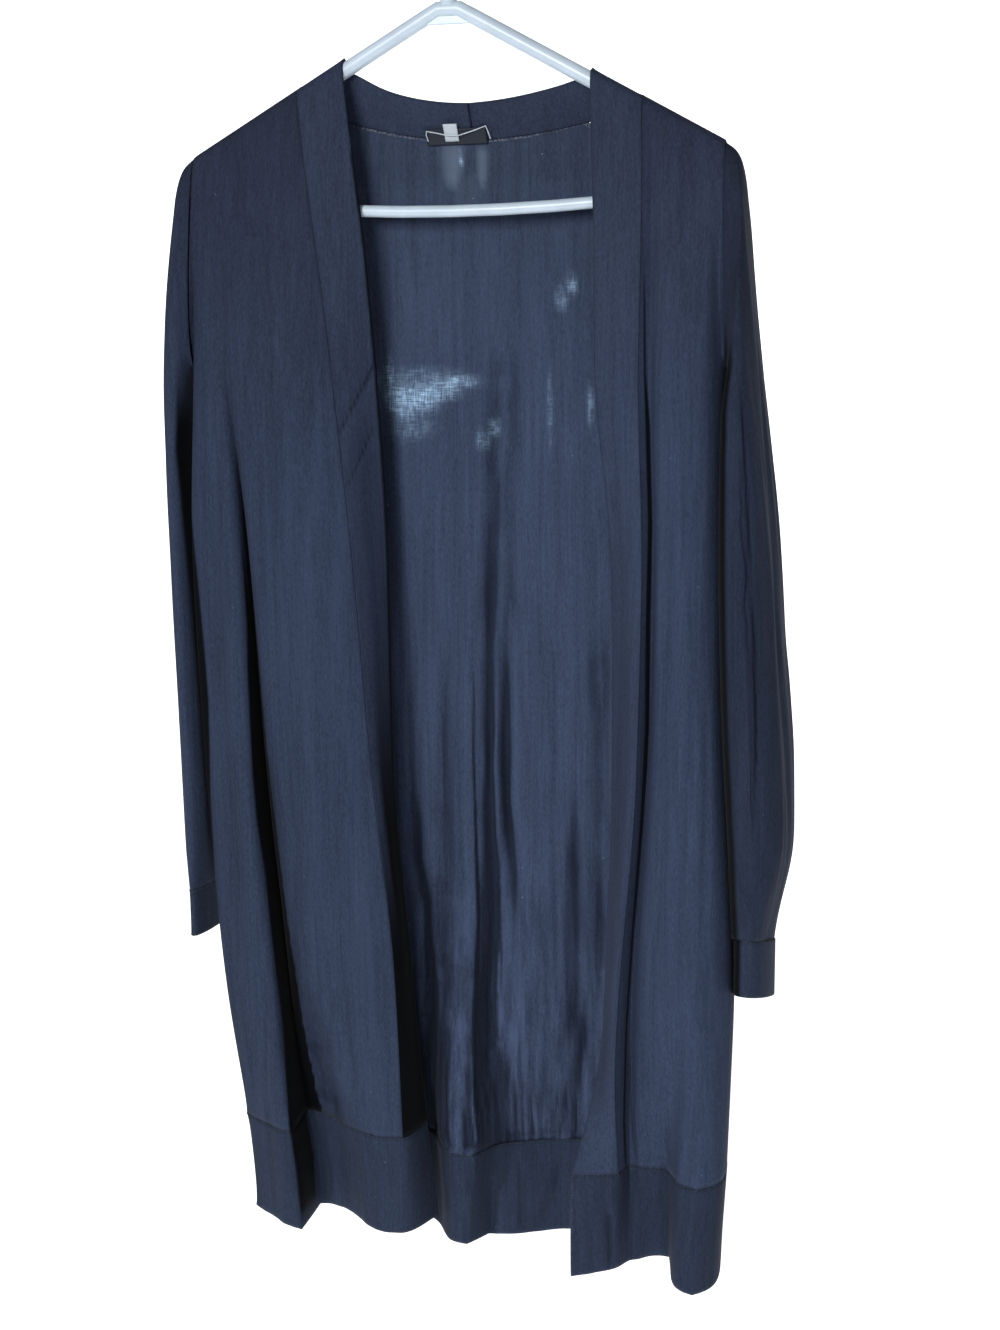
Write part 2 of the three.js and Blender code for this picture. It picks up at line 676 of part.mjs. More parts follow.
function backPieces(stations) {
  const grid = backGrid(stations);
  const normals = gridNormals(grid, false);
  const seamRow = grid.length - 1 - HEM_ROWS;
  const sides = [0, grid[0].length - 1];
  const panel = cutRows(grid, 0, seamRow);
  const panelNormals = cutRows(normals, 0, seamRow);
  const lastNeck = FIRST_NECK_COLUMN + NECK_STEPS;
  const inNeck = (c) => c > FIRST_NECK_COLUMN && c < lastNeck;
  squareEdge(panelNormals[0], "y");
  const neckNormals = panelNormals[WRAP_STEPS].filter((_, c) => inNeck(c));
  const below = panel[WRAP_STEPS + 1];
  neckNormals.forEach((normal, i) => {
    const c = FIRST_NECK_COLUMN + 1 + i;
    const down = below[c].clone().sub(panel[WRAP_STEPS][c]);
    const along = panel[WRAP_STEPS][c + 1].clone().sub(panel[WRAP_STEPS][c - 1]);
    normal.copy(down.cross(along).normalize());
  });
  squareEdge(neckNormals, "z");
  pullIn(panel[WRAP_STEPS].filter((_, c) => inNeck(c)), below.filter((_, c) => inNeck(c)), NECK_GAP);
  for (const [c, next] of [[FIRST_NECK_COLUMN, -1], [lastNeck, 1]]) {
    const rows = WRAP_STEPS + 1;
    squareEdge(columnOf(panelNormals, c).slice(0, rows), "x");
    pullIn(columnOf(panel, c).slice(0, rows), columnOf(panel, c + next).slice(0, rows), shared);
  }
  finishPanel(panel, panelNormals, sides);
  const leaveOut = (r, c) => r < WRAP_STEPS && c >= FIRST_NECK_COLUMN && c < lastNeck;
  return {
    panel: wall(panel, panelNormals, PANEL_WALL, { leaveOut }),
    hem: hemPiece(grid, normals, sides),
  };
}

// One ring of a sleeve or cuff
function ring({ top, low, half, egg, y, tilt = 0 }) {
  const points = [];
  for (let i = 0; i < SLEEVE_SIDES; i += 1) {
    const angle = (2 * Math.PI * i) / SLEEVE_SIDES;
    const part = (1 - Math.cos(angle)) / 2;
    const depth = ringHalf(part, half, egg) * Math.sign(Math.sin(angle) + 1e-9);
    const z = mix(top[1], low[1], part) - tilt * depth;
    points.push(new THREE.Vector3(mix(top[0], low[0], part), y + depth, z));
  }
  return points;
}

function sleeve(rings) {
  const grid = rings.flatMap((row, i) => {
    const next = rings[i + 1];
    if (!next || Math.abs(next.low[1] - row.low[1]) < 50) {
      return [ring(row)];
    }
    const between = {
      top: row.top.map((value, k) => mix(value, next.top[k], 0.5)),
      low: row.low.map((value, k) => mix(value, next.low[k], 0.5)),
      half: mix(row.half, next.half, 0.5),
      egg: mix(row.egg, next.egg, 0.5),
      y: mix(row.y, next.y, 0.5),
      tilt: mix(row.tilt ?? 0, next.tilt ?? 0, 0.5),
    };
    return [ring(row), ring(between)];
  });
  const normals = gridNormals(grid, true);
  squareEdge(normals[0], "x");
  squareEdge(normals[grid.length - 1], "z");
  return wall(grid, normals, SLEEVE_WALL, { closed: true });
}

function cuff({ x, y, topZ, lowZ, half, thin, tilt }) {
  const grid = [topZ, mix(topZ, lowZ, 0.5), lowZ].map((z) => {
    const outer = x + Math.sign(x) * thin;
    const inner = x - Math.sign(x) * thin;
    return ring({ top: [outer, z], low: [inner, z], half, egg: 0, y, tilt });
  });
  const normals = gridNormals(grid, true);
  squareEdge(normals[0], "z");
  return wall(grid, normals, CUFF_WALL, { closed: true });
}

// A small woven piece, from its sewn edge to its free one
function wovenTag(rows, middle, half, columns) {
  const grid = rows.map(({ y, z }) => {
    const row = [];
    for (let c = 0; c <= columns; c += 1) {
      row.push(new THREE.Vector3(middle + mix(-half, half, c / columns), y, z));
    }
    return row;
  });
  return wall(grid, gridNormals(grid, false), LABEL_WALL);
}

// A round tube along a path in the plane of the hanger
function tube(path, radius, closed) {
  const sections = path.map((point, i) => {
    const before = path[closed ? (i + path.length - 1) % path.length : Math.max(0, i - 1)];
    const after = path[closed ? (i + 1) % path.length : Math.min(path.length - 1, i + 1)];
    const along = after.clone().sub(before).normalize();
    const side = new THREE.Vector3(0, 1, 0).cross(along).normalize();
    return Array.from({ length: TUBE_SIDES }, (_, k) => {
      const angle = (2 * Math.PI * k) / TUBE_SIDES;
      const p = point.clone().addScaledVector(side, radius * Math.cos(angle));
      p.y += radius * Math.sin(angle);
      return p;
    });
  });
  const positions = sections.flat().flatMap((p) => [p.x, p.y, p.z]);
  const index = [];
  const last = closed ? path.length : path.length - 1;
  for (let i = 0; i < last; i += 1) {
    for (let k = 0; k < TUBE_SIDES; k += 1) {
      const a = i * TUBE_SIDES + k;
      const b = i * TUBE_SIDES + ((k + 1) % TUBE_SIDES);
      const c = ((i + 1) % path.length) * TUBE_SIDES;
      const d = c + ((k + 1) % TUBE_SIDES);
      index.push(a, b, d, a, d, c + k);
    }
  }
  if (!closed) {
    for (let k = 1; k < TUBE_SIDES - 1; k += 1) {
      const end = (path.length - 1) * TUBE_SIDES;
      index.push(0, k + 1, k, end, end + k, end + k + 1);
    }
  }
  return outward(positions, index);
}

const flat = (x, z) => new THREE.Vector3(x, 0, z);

function arc(x, z, radius, from, to, steps) {
  return Array.from({ length: steps + 1 }, (_, i) => {
    const angle = THREE.MathUtils.degToRad(mix(from, to, i / steps));
    return flat(x + radius * Math.cos(angle), z + radius * Math.sin(angle));
  });
}

// One arm with its rounded end and half of the crossbar, on the side of sign
function halfLoop(sign) {
  const slope = armSlope(sign);
  const tilt = Math.atan(slope);
  const centreX = ARM_BEND_X - END_RADIUS * Math.sin(tilt);
  const centreZ = armZ(sign * ARM_BEND_X) - END_RADIUS * Math.cos(tilt);
  const end = arc(centreX, centreZ, END_RADIUS, 90 - THREE.MathUtils.radToDeg(tilt), -94, 7);
  const arm = [6, 20, 110].map((x) => flat(x, armZ(sign * Math.max(x, 10))));
  const barEnd = end[end.length - 1];
  const bar = [0.8, 0.6, 0.4, 0.2].map((part) => {
    return flat(barEnd.x * part, mix(BAR_MIDDLE_Z, barEnd.z, part ** 2));
  });
  return [...arm, ...end, ...bar].map((p) => flat(sign * p.x, p.z));
}

// Arms, rounded ends and crossbar as one closed loop
function loopPath() {
  return [...halfLoop(1), flat(0, BAR_MIDDLE_Z), ...halfLoop(-1).reverse()];
}

function hookPath() {
  const radius = HOOK_INNER_RADIUS + HOOK_TUBE;
  const crownZ = -HOOK_INNER_RADIUS;
  const bow = arc(0, crownZ, radius, 195, -62, 15);
  const low = bow[bow.length - 1];
  const neckZ = -58;
  return [
    ...bow,
    flat(low.x * 0.55, low.z - 5),
    flat(low.x * 0.18, mix(low.z - 5, neckZ, 0.55)),
    flat(0, neckZ),
    flat(0, APEX_Z - 2),
  ];
}

// A closed shape with its shared points merged, ready to be joined
function joinable(geometry) {
  geometry.deleteAttribute("normal");
  geometry.deleteAttribute("uv");
  return mergeVertices(geometry, 0.001);
}

// The round tip of the hook
function hookTip() {
  const ball = joinable(new THREE.SphereGeometry(HOOK_TUBE, TUBE_SIDES, TUBE_SIDES / 2));
  return ball.translate(...hookPath()[0].toArray());
}

// The flat web under the apex, between the arms
function gussetWeb() {
  const low = armZ(GUSSET_HALF_WIDTH);
  const outline = new THREE.Shape([
    new THREE.Vector2(-GUSSET_HALF_WIDTH, low),
    new THREE.Vector2(GUSSET_HALF_WIDTH, low),
    new THREE.Vector2(0, APEX_Z),
  ]);
  const plate = new THREE.ExtrudeGeometry(outline, { depth: GUSSET_THICKNESS, bevelEnabled: false });
  return joinable(plate).translate(0, 0, -GUSSET_THICKNESS / 2).rotateX(Math.PI / 2);
}

async function hangerGeometry() {
  const kit = await Module();
  kit.setup();
  const solid = (geometry) => new kit.Manifold(new kit.Mesh({
    numProp: 3,
    vertProperties: new Float32Array(geometry.getAttribute("position").array),
    triVerts: new Uint32Array(geometry.getIndex().array),
  }));
  const loop = solid(tube(loopPath(), TUBE_RADIUS, true));
  const hook = solid(tube(hookPath(), HOOK_TUBE, false));
  const collar = solid(tube([flat(0, APEX_Z + 14), flat(0, APEX_Z - 2)], TUBE_RADIUS + 0.8, false));
  const tip = solid(hookTip());
  const web = solid(gussetWeb());
  const mesh = loop.add(hook).add(collar).add(tip).add(web).getMesh();
  const geometry = new THREE.BufferGeometry();
  geometry.setAttribute("position", new THREE.Float32BufferAttribute(mesh.vertProperties, 3));
  geometry.setIndex(Array.from(mesh.triVerts));
  return geometry;
}

const COLOURS = { knit: 0x323d52, plastic: 0xdde4ee, label: 0x1c222e, tab: 0xe8ecf0 };
const whole = new THREE.Group();
whole.name = "cardigan_on_hanger";

function add(name, geometry, colour) {
  const material = new THREE.MeshStandardMaterial({ color: colour, roughness: 0.8 });
  const mesh = new THREE.Mesh(geometry, material);
  mesh.name = name;
  whole.add(mesh);
}

const stations = neckStations();
const centre = NECK_STEPS / 2;
const left = frontPieces(LEFT_FRONT, LEFT_EDGE_LEVELS, stations.slice(0, centre + 1).reverse());
const right = frontPieces(RIGHT_FRONT, RIGHT_EDGE_LEVELS, stations.slice(centre));
const back = backPieces(stations);
add("hanger", await hangerGeometry(), COLOURS.plastic);
add("back_panel", back.panel, COLOURS.knit);
add("back_hem_band", back.hem, COLOURS.knit);
add("left_front_panel", left.panel, COLOURS.knit);
add("left_front_band", left.band, COLOURS.knit);
add("left_hem_band", left.hem, COLOURS.knit);
add("right_front_panel", right.panel, COLOURS.knit);
add("right_front_band", right.band, COLOURS.knit);
add("right_hem_band", right.hem, COLOURS.knit);
add("left_sleeve", sleeve(LEFT_SLEEVE), COLOURS.knit);
add("right_sleeve", sleeve(RIGHT_SLEEVE), COLOURS.knit);
add("left_cuff", cuff(CUFFS.left), COLOURS.knit);
add("right_cuff", cuff(CUFFS.right), COLOURS.knit);
add("neck_label", wovenTag(LABEL_ROWS, LABEL_X, LABEL_HALF, 6), COLOURS.label);
add("size_tab", wovenTag(TAB_ROWS, TAB_X, TAB_HALF, 2), COLOURS.tab);

export default whole;
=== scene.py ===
# Looks of a long knit cardigan that hangs open on a tubular hanger.
# Metres, Z up, front towards -Y. Left is -X and right is +X, as seen from the front.
# The tables and the cloth's own steps are in millimetres.
import math

import bmesh
import bpy
import numpy as np
from mathutils import Matrix, Vector
from mathutils.kdtree import KDTree


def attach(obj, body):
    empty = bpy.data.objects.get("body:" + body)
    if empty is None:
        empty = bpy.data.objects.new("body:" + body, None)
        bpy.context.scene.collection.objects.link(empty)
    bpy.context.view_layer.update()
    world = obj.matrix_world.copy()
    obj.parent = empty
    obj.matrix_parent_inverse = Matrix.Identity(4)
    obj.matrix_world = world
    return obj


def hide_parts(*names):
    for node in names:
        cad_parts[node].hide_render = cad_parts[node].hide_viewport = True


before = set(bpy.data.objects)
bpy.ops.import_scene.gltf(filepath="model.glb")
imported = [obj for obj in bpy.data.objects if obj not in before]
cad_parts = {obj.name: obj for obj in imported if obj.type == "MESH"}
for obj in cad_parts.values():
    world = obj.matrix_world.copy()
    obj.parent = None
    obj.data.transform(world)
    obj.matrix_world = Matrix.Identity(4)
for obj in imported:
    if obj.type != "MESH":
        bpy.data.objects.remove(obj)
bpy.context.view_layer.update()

MM = 0.001

# Camera, as in the photograph
CAMERA_PLACE = Vector((0.42204, -1.31020, -0.30863))
CAMERA_AZIMUTH = math.radians(16.511)
CAMERA_DOWN = math.radians(10.5)
CAMERA_ROLL = math.radians(-0.539)
LENS = 50.01
SENSOR = 36.0

# Walls of the cloth
PANEL_WALL = 1.2
BAND_WALL = 2.0
HEM_WALL = 1.8
LABEL_WALL = 1.0

# How far each cut edge is let out, so that sewn edges meet
SEAM_LET_OUT = 0.12
# Rounds of smoothing for the garment's cloth and for the small woven pieces
CLOTH_ROUNDS = 3
WOVEN_ROUNDS = 2

# The upper edge of the back is raised behind the neck band: within this distance of the
# edge, above this height and up to this X, by these steps
NECK_REACH = 14.0
NECK_FOOT_Z = -200
NECK_HALF_WIDTH = 96
NECK_BACK_STEP = 0.9
NECK_UP_STEP = 1.7
NECK_CORNER_UP = 1.6
NECK_CORNER_OUT = 3.0

# The right sleeve is carried on behind the front, and narrows to its cuff beyond this X
SLEEVE_CARRY = 1.5
SLEEVE_CARRY_LOW = 3.5
CUFF_CARRY = 3.0
SLEEVE_NARROW = 0.3
SLEEVE_NARROW_X = 228

# Folds of the back as (x, z) down each line, with half width and depth.
# A positive depth goes to the back, a negative one to the front.
BACK_FOLDS = [
    {"line": [(32, -290), (30, -360), (27, -425), (25.5, -486), (23, -560)],
     "wide": 13, "deep": 5.0},
    {"line": [(17, -470), (17.5, -579), (16, -674), (18, -725), (19, -768), (15, -837), (14, -875),
              (15, -923), (18, -953)], "wide": 4.2, "deep": 6.0},
    {"line": [(29, -500), (28.7, -579), (28.6, -675), (34, -735), (37, -800)],
     "wide": 4.2, "deep": 4.6},
    {"line": [(23, -520), (23, -640), (23, -730)], "wide": 3.5, "deep": -2.2},
    {"line": [(-8, -480), (-6, -640), (-2, -800), (2, -900)], "wide": 10, "deep": -2.2},
    {"line": [(-52, -470), (-50, -668), (-48, -726), (-40, -757), (-35, -818), (-29, -880),
              (-25, -938)], "wide": 7, "deep": 3.4},
    {"line": [(-38, -640), (-33, -760), (-24, -860), (-18, -930)], "wide": 5, "deep": -2.0},
    {"line": [(-66, -620), (-62, -760), (-52, -860), (-45, -930)], "wide": 6, "deep": 2.4},
    {"line": [(84, -640), (85, -752), (87, -810), (89, -858), (92, -905)],
     "wide": 5.5, "deep": 3.4},
    {"line": [(72, -700), (72, -800), (70, -880)], "wide": 4.5, "deep": -1.8},
    {"line": [(58, -480), (62, -640), (58, -760), (52, -850)], "wide": 10, "deep": 2.4},
    {"line": [(103, -470), (104, -590), (104, -720), (104, -850)], "wide": 8, "deep": 3.6},
]

# Small gathers above the seam of the back's hem: place of their upper and lower end
GATHERS = [
    {"x": -22.5, "z": -895, "foot": -10.6, "wide": 2.6, "deep": 3.0},
    {"x": -17.0, "z": -845, "foot": -14.5, "wide": 2.4, "deep": 2.6},
    {"x": -34.0, "z": -880, "foot": -28.0, "wide": 2.8, "deep": 2.4},
    {"x": 1.6, "z": -830, "foot": 7.0, "wide": 3.0, "deep": 3.4},
    {"x": -3.0, "z": -885, "foot": 4.3, "wide": 2.2, "deep": 2.8},
    {"x": 24.0, "z": -900, "foot": 25.5, "wide": 2.2, "deep": 3.4},
    {"x": 30.0, "z": -860, "foot": 31.0, "wide": 1.8, "deep": 2.2},
    {"x": 35.5, "z": -890, "foot": 36.5, "wide": 2.2, "deep": 2.8},
    {"x": 43.5, "z": -850, "foot": 42.0, "wide": 1.8, "deep": 2.0},
    {"x": 49.5, "z": -885, "foot": 47.5, "wide": 2.4, "deep": 3.4},
    {"x": 54.5, "z": -910, "foot": 55.5, "wide": 1.8, "deep": 2.4},
    {"x": 62.0, "z": -860, "foot": 59.5, "wide": 2.6, "deep": 2.2},
    {"x": 72.5, "z": -885, "foot": 64.0, "wide": 2.4, "deep": 3.0},
    {"x": 87.0, "z": -865, "foot": 68.0, "wide": 2.8, "deep": 3.8},
    {"x": 83.5, "z": -910, "foot": 83.0, "wide": 2.2, "deep": 3.0},
    {"x": 94.0, "z": -815, "foot": 80.0, "wide": 3.0, "deep": 3.2},
    {"x": 98.0, "z": -880, "foot": 94.0, "wide": 2.6, "deep": 2.6},
]

BACK_HEM_FOLDS = [
    {"line": [(7, -948), (6, -970), (5, -993)], "wide": 2.6, "deep": 2.4},
    {"line": [(2, -1000), (2, -1033)], "wide": 2.6, "deep": 1.8},
    {"line": [(19, -978), (18, -1005), (17, -1033)], "wide": 3.2, "deep": 2.8},
    {"line": [(40, -965), (40.5, -1000), (41.5, -1032)], "wide": 2.6, "deep": 1.8},
    {"line": [(74, -962), (64, -998), (53, -1026)], "wide": 5.0, "deep": 1.8},
]

FRONT_FOLDS = [
    {"line": [(-57, -334), (-64, -350), (-72, -366), (-83, -388)], "wide": 2.6, "deep": 2.4},
    {"line": [(-61, -386), (-68, -402), (-77, -424)], "wide": 2.6, "deep": 2.2},
    {"line": [(-120, -280), (-112, -480), (-104, -640), (-98, -820)], "wide": 12, "deep": -2.4},
    {"line": [(-140, -300), (-136, -480), (-128, -640), (-122, -820)], "wide": 9, "deep": 1.8},
    {"line": [(-96, -540), (-90, -700), (-84, -850), (-80, -925)], "wide": 7, "deep": 1.8},
    {"line": [(-188, -320), (-183, -480), (-178, -640), (-170, -800)], "wide": 6, "deep": 2.0},
    {"line": [(-104, -760), (-97, -778), (-86, -792)], "wide": 3.5, "deep": 0.9},
    {"line": [(-112, -838), (-98, -846), (-84, -850)], "wide": 3.0, "deep": 0.7},
    {"line": [(141, -835), (140, -872), (141.5, -910), (142, -938)], "wide": 2.2, "deep": 3.4},
    {"line": [(182, -400), (182, -560), (178, -720), (172, -880)], "wide": 8, "deep": -2.0},
    {"line": [(166, -300), (167, -480), (166, -650), (160, -820)], "wide": 7, "deep": 1.6},
    {"line": [(196, -440), (197, -600), (198, -780)], "wide": 5, "deep": 1.4},
    {"line": [(127, -968), (126.7, -990), (126.6, -1023)], "wide": 2.4, "deep": 3.4},
    {"line": [(204, -946), (200, -963), (195.7, -978), (193, -992)], "wide": 2.4, "deep": 2.2},
    {"line": [(160, -975), (172, -968), (184, -972)], "wide": 4.0, "deep": 0.9},
]

# Folds of the sleeves as (y, z) down each line; a positive depth goes inwards
SLEEVE_FOLDS = {
    "left_sleeve": [
        {"line": [(8, -300), (14, -420), (18, -540), (16, -680)], "wide": 7, "deep": 1.8},
        {"line": [(34, -360), (40, -480), (42, -600), (36, -700)], "wide": 8, "deep": 2.2},
        {"line": [(-6, -420), (-4, -560), (2, -700)], "wide": 5, "deep": 1.4},
    ],
    "right_sleeve": [
        {"line": [(-44, -345), (-47, -392), (-53, -446), (-56, -500), (-56, -567), (-55, -646),
                  (-50, -700)], "wide": 4.0, "deep": 4.2},
        {"line": [(-30, -330), (-34, -470), (-36, -600), (-30, -720)], "wide": 6, "deep": -1.6},
        {"line": [(-12, -300), (-14, -440), (-16, -600), (-12, -700)], "wide": 7, "deep": 2.0},
        {"line": [(16, -340), (20, -480), (22, -620), (16, -710)], "wide": 8, "deep": 2.2},
        {"line": [(42, -420), (44, -560), (38, -690)], "wide": 6, "deep": 1.6},
    ],
}

# Light that comes through the thin knit of the back
THROUGH_LIGHT = [
    {"x": -48, "z": -367, "wide": 11, "high": 11, "strength": 1.0},
    {"x": -36, "z": -363, "wide": 14, "high": 10, "strength": 1.2},
    {"x": -22, "z": -357, "wide": 16, "high": 7, "strength": 0.95},
    {"x": -6, "z": -352, "wide": 15, "high": 4.5, "strength": 0.75},
    {"x": -43, "z": -384, "wide": 15, "high": 11, "strength": 0.24},
    {"x": -60, "z": -356, "wide": 4, "high": 18, "strength": 0.7},
    {"x": -34, "z": -351, "wide": 32, "high": 8, "strength": 0.3},
    {"x": 84, "z": -282, "wide": 4, "high": 6, "strength": 0.42},
    {"x": 76, "z": -292, "wide": 4, "high": 7, "strength": 0.42},
    {"x": 22, "z": -386, "wide": 4, "high": 5, "strength": 0.6},
    {"x": 14, "z": -396, "wide": 4.5, "high": 6, "strength": 0.5},
    {"x": 97, "z": -370, "wide": 2, "high": 12, "strength": 0.5},
    {"x": 66, "z": -372, "wide": 1.2, "high": 22, "strength": 0.35},
    {"x": 1, "z": -192, "wide": 1.6, "high": 4.0, "strength": 0.9},
]

# Tongues of pale light under the label: upper width, tip and strength
TONGUES = [
    {"left": -14.0, "right": 4.0, "top": -177, "tip_x": -6.0, "tip_z": -216, "strength": 0.34},
    {"left": 12.6, "right": 22.0, "top": -180, "tip_x": 16.8, "tip_z": -216, "strength": 0.30},
    {"left": -8.0, "right": 18.0, "top": -196, "tip_x": 6.0, "tip_z": -232, "strength": 0.07},
]

# Where the sleeves and the sides turn away from each other into black shadow:
# the X at which the shadow begins, by height
SLEEVE_GAP = {
    "left_sleeve": {
        "z": [-790, -766, -723, -680, -598, -519, -440, -402, -364, -327],
        "x": [-213, -211, -209, -208.8, -211.1, -213.4, -216.2, -217.6, -214.6, -211.8],
    },
    "left_front_panel": {
        "z": [-800, -760, -718, -677, -636, -595, -556, -517, -479, -440, -400],
        "x": [-205, -201.5, -199.4, -199.6, -197.8, -196.6, -198.4, -201.4, -205, -210, -214],
    },
}

# Black shadows deep between two folds: their left and right limit across the view, by height
STRIPS = [
    {"nodes": ("left_front_panel", "left_hem_band"), "strength": 1.0, "foot": 10,
     "z": [-452, -496, -535, -573, -612, -651, -691, -731,
           -771, -812, -855, -892, -933, -974, -1012],
     "left": [-165.0, -162.4, -161.2, -161.6, -161.0, -160.2, -157.7, -152.9,
              -149.9, -146.4, -142.5, -140.8, -138.7, -133.8, -131.0],
     "right": [-164.2, -161.1, -158.1, -156.8, -155.9, -154.3, -152.3, -147.7,
               -144.5, -141.6, -136.0, -133.0, -129.5, -123.5, -121.5]},
    {"nodes": ("right_front_panel", "right_front_band"), "strength": 0.95, "foot": 30,
     "z": [-262, -346, -381, -452, -524, -598, -635, -673, -750, -828, -906, -960],
     "left": [135.1, 135.8, 137.0, 139.0, 137.4, 137.4,
              136.0, 134.1, 128.8, 124.0, 122.2, 125.0],
     "right": [136.1, 137.2, 140.4, 142.4, 140.8, 140.8,
               139.2, 136.5, 130.6, 125.6, 123.8, 126.2]},
    {"nodes": ("right_sleeve",), "strength": 0.8, "foot": 60,
     "z": [-345, -396, -429, -463, -498, -532, -567, -603, -660],
     "left": [196.4, 199.5, 201.5, 202.4, 204.4, 206.7, 208.3, 209.2, 209.0],
     "right": [197.4, 200.9, 203.1, 204.2, 206.2, 208.5, 210.1, 210.8, 210.0]},
    {"nodes": ("back_panel",), "strength": 0.85, "foot": 8,
     "z": [-560, -640, -725, -768, -837, -875, -923, -953],
     "left": [11.6, 10.2, 11.4, 12.0, 8.0, 7.2, 8.4, 11.4],
     "right": [12.6, 12.0, 14.0, 15.6, 12.8, 11.2, 12.0, 14.0]},
    {"nodes": ("back_panel",), "strength": 0.6, "foot": 40,
     "z": [-600, -675, -735, -800, -850],
     "left": [23.0, 22.8, 27.6, 30.4, 31.0],
     "right": [24.4, 24.8, 30.0, 32.2, 32.0]},
    {"nodes": ("left_front_band",), "strength": 0.55, "foot": 4, "head": 4,
     "z": [-330, -348, -366, -390], "left": [-57.0, -65.0, -74.5, -87.0],
     "right": [-55.6, -63.2, -72.7, -85.6]},
    {"nodes": ("left_front_band",), "strength": 0.5, "foot": 4, "head": 4,
     "z": [-384, -402, -426], "left": [-60.8, -69.0, -80.0], "right": [-59.4, -67.4, -78.6]},
]


# How dark the hollows are painted, as shares of full shadow, and how much of the colour
# full shadow leaves
BACK_HOLLOW = 0.66
BACK_HEM_HOLLOW = 0.3
FLAT_FRONT_HOLLOW = 0.14
BAND_EDGE_HOLLOW = 0.9
SHADOW_LEAVES = 0.035

# Where folds fade at the sides: from none to full on the left, from full to none on the right
BACK_SIDES = (-196, -176, 184, 202)
BACK_HEM_SIDES = (-176, -160, 184, 202)
FRONT_SIDES = (-198, -184, 196, 208)
GATHER_FOOT_Z = -956

# Seeds of the uneven parts
GATHER_SEED = 5
BACK_SEED = 11
BACK_HEM_SEED = 12
FRONT_SEED = 23
SLEEVE_SEED = 31

# The area that holds all the cloth, seen from the front: its lower left corner and its size
AREA_LEFT_X = -280
AREA_FOOT_Z = -1060
AREA_WIDTH = 560
AREA_HEIGHT = 960


def ease(low, high, value):
    """Goes softly from 0 at low to 1 at high; low may be the larger one."""
    part = np.clip((value - low) / (high - low), 0, 1)
    return part * part * (3 - 2 * part)


def between(sides, x):
    """One inside the sides of a piece, fading to nothing at them."""
    return ease(sides[0], sides[1], x) * (1 - ease(sides[2], sides[3], x))


def across_view(points):
    """Place of each point across the camera's view."""
    return points[:, 0] * math.cos(CAMERA_AZIMUTH) + points[:, 1] * math.sin(CAMERA_AZIMUTH)


def strip_shadow(points, node):
    """How dark each point of a piece is in the black shadows of STRIPS."""
    across, z = across_view(points), points[:, 2]
    total = np.zeros_like(z)
    for row in STRIPS:
        if node not in row["nodes"]:
            continue
        down = [-v for v in row["z"]]
        left, right = np.interp(-z, down, row["left"]), np.interp(-z, down, row["right"])
        inside = ease(left - 0.8, left + 0.6, across) * ease(right + 0.8, right - 0.6, across)
        top, foot = row["z"][0], row["z"][-1]
        ends = ease(top + 2, top - row.get("head", 40), z) * ease(foot - 4, foot + row["foot"], z)
        total = np.maximum(total, row["strength"] * inside * ends)
    return total


def edge_by_height(across, z):
    """Leftmost place of a piece in the view, at the height of each point."""
    slice_height = 8.0
    steps = np.arange(AREA_FOOT_Z, -90, slice_height)
    place = np.clip(((z - AREA_FOOT_Z) / slice_height).astype(int), 0, len(steps) - 1)
    lowest = np.full(len(steps), np.inf)
    np.minimum.at(lowest, place, across)
    known = np.isfinite(lowest)
    return np.interp(z, steps[known] + slice_height / 2, lowest[known])


def carry_on(points, reach):
    """Carries the body side of the right sleeve on behind the edge of the front."""
    across = across_view(points)
    beyond = across - edge_by_height(across, points[:, 2])
    points[:, 0] -= reach * (1 - ease(0.5, 7.0, beyond))


# Folds


def fold_push(across, z, fold, top_fade=0.3, foot_fade=0.18):
    """Depth of one soft trough or ridge, a little uneven in width and depth."""
    heights = np.array([p[1] for p in fold["line"]], float)[::-1]
    places = np.array([p[0] for p in fold["line"]], float)[::-1]
    foot, top = heights[0], heights[-1]
    middle = np.interp(z, heights, places)
    lean = np.interp(z, heights, np.gradient(places, heights))
    wide = fold["wide"] * (1 + 0.2 * np.sin(z / 23.0 + top) + 0.12 * np.sin(z / 9.7 + foot))
    q = (across - middle) / (wide * np.sqrt(1 + lean * lean))
    shape = np.exp(-q * q) * (1 - 0.35 * q * q)
    length = top - foot
    along = ease(top, top - top_fade * length, z) * ease(foot, foot + foot_fade * length, z)
    return fold["deep"] * shape * along * (1 + 0.18 * np.sin(z / 31.0 + fold["wide"]))


def ripple(across, z, seed):
    """Slight unevenness of hanging cloth: long waves that run down it."""
    draw = np.random.default_rng(seed)
    total = np.zeros_like(z)
    for wave in (64.0, 41.0, 27.0, 17.0, 11.0):
        phase = draw.uniform(0, 2 * math.pi, 3)
        sway = 9.0 * np.sin(z / 170.0 + phase[0]) + 4.0 * np.sin(z / 63.0 + phase[1])
        total += (wave / 64.0) ** 0.8 * np.sin((across + sway) * 2 * math.pi / wave + phase[2])
    return total


def hidden_gathers():
    """Gathers of the back where the fronts hide it, and fine ones between the others."""
    draw = np.random.default_rng(GATHER_SEED)
    rows = []
    for x in [*range(-170, -48, 11), *range(108, 196, 11)]:
        rows.append({"x": x, "z": -850 - 45 * draw.uniform(), "foot": x + draw.uniform(-5, 5),
                     "wide": 2.4 + draw.uniform(), "deep": 1.8 + 1.6 * draw.uniform()})
    for x in range(-44, 104, 6):
        rows.append({"x": x + draw.uniform(-2, 2), "z": -760 - 150 * draw.uniform(),
                     "foot": x + draw.uniform(-5, 5), "wide": 1.5,
                     "deep": 0.7 + 0.5 * draw.uniform()})
    return rows


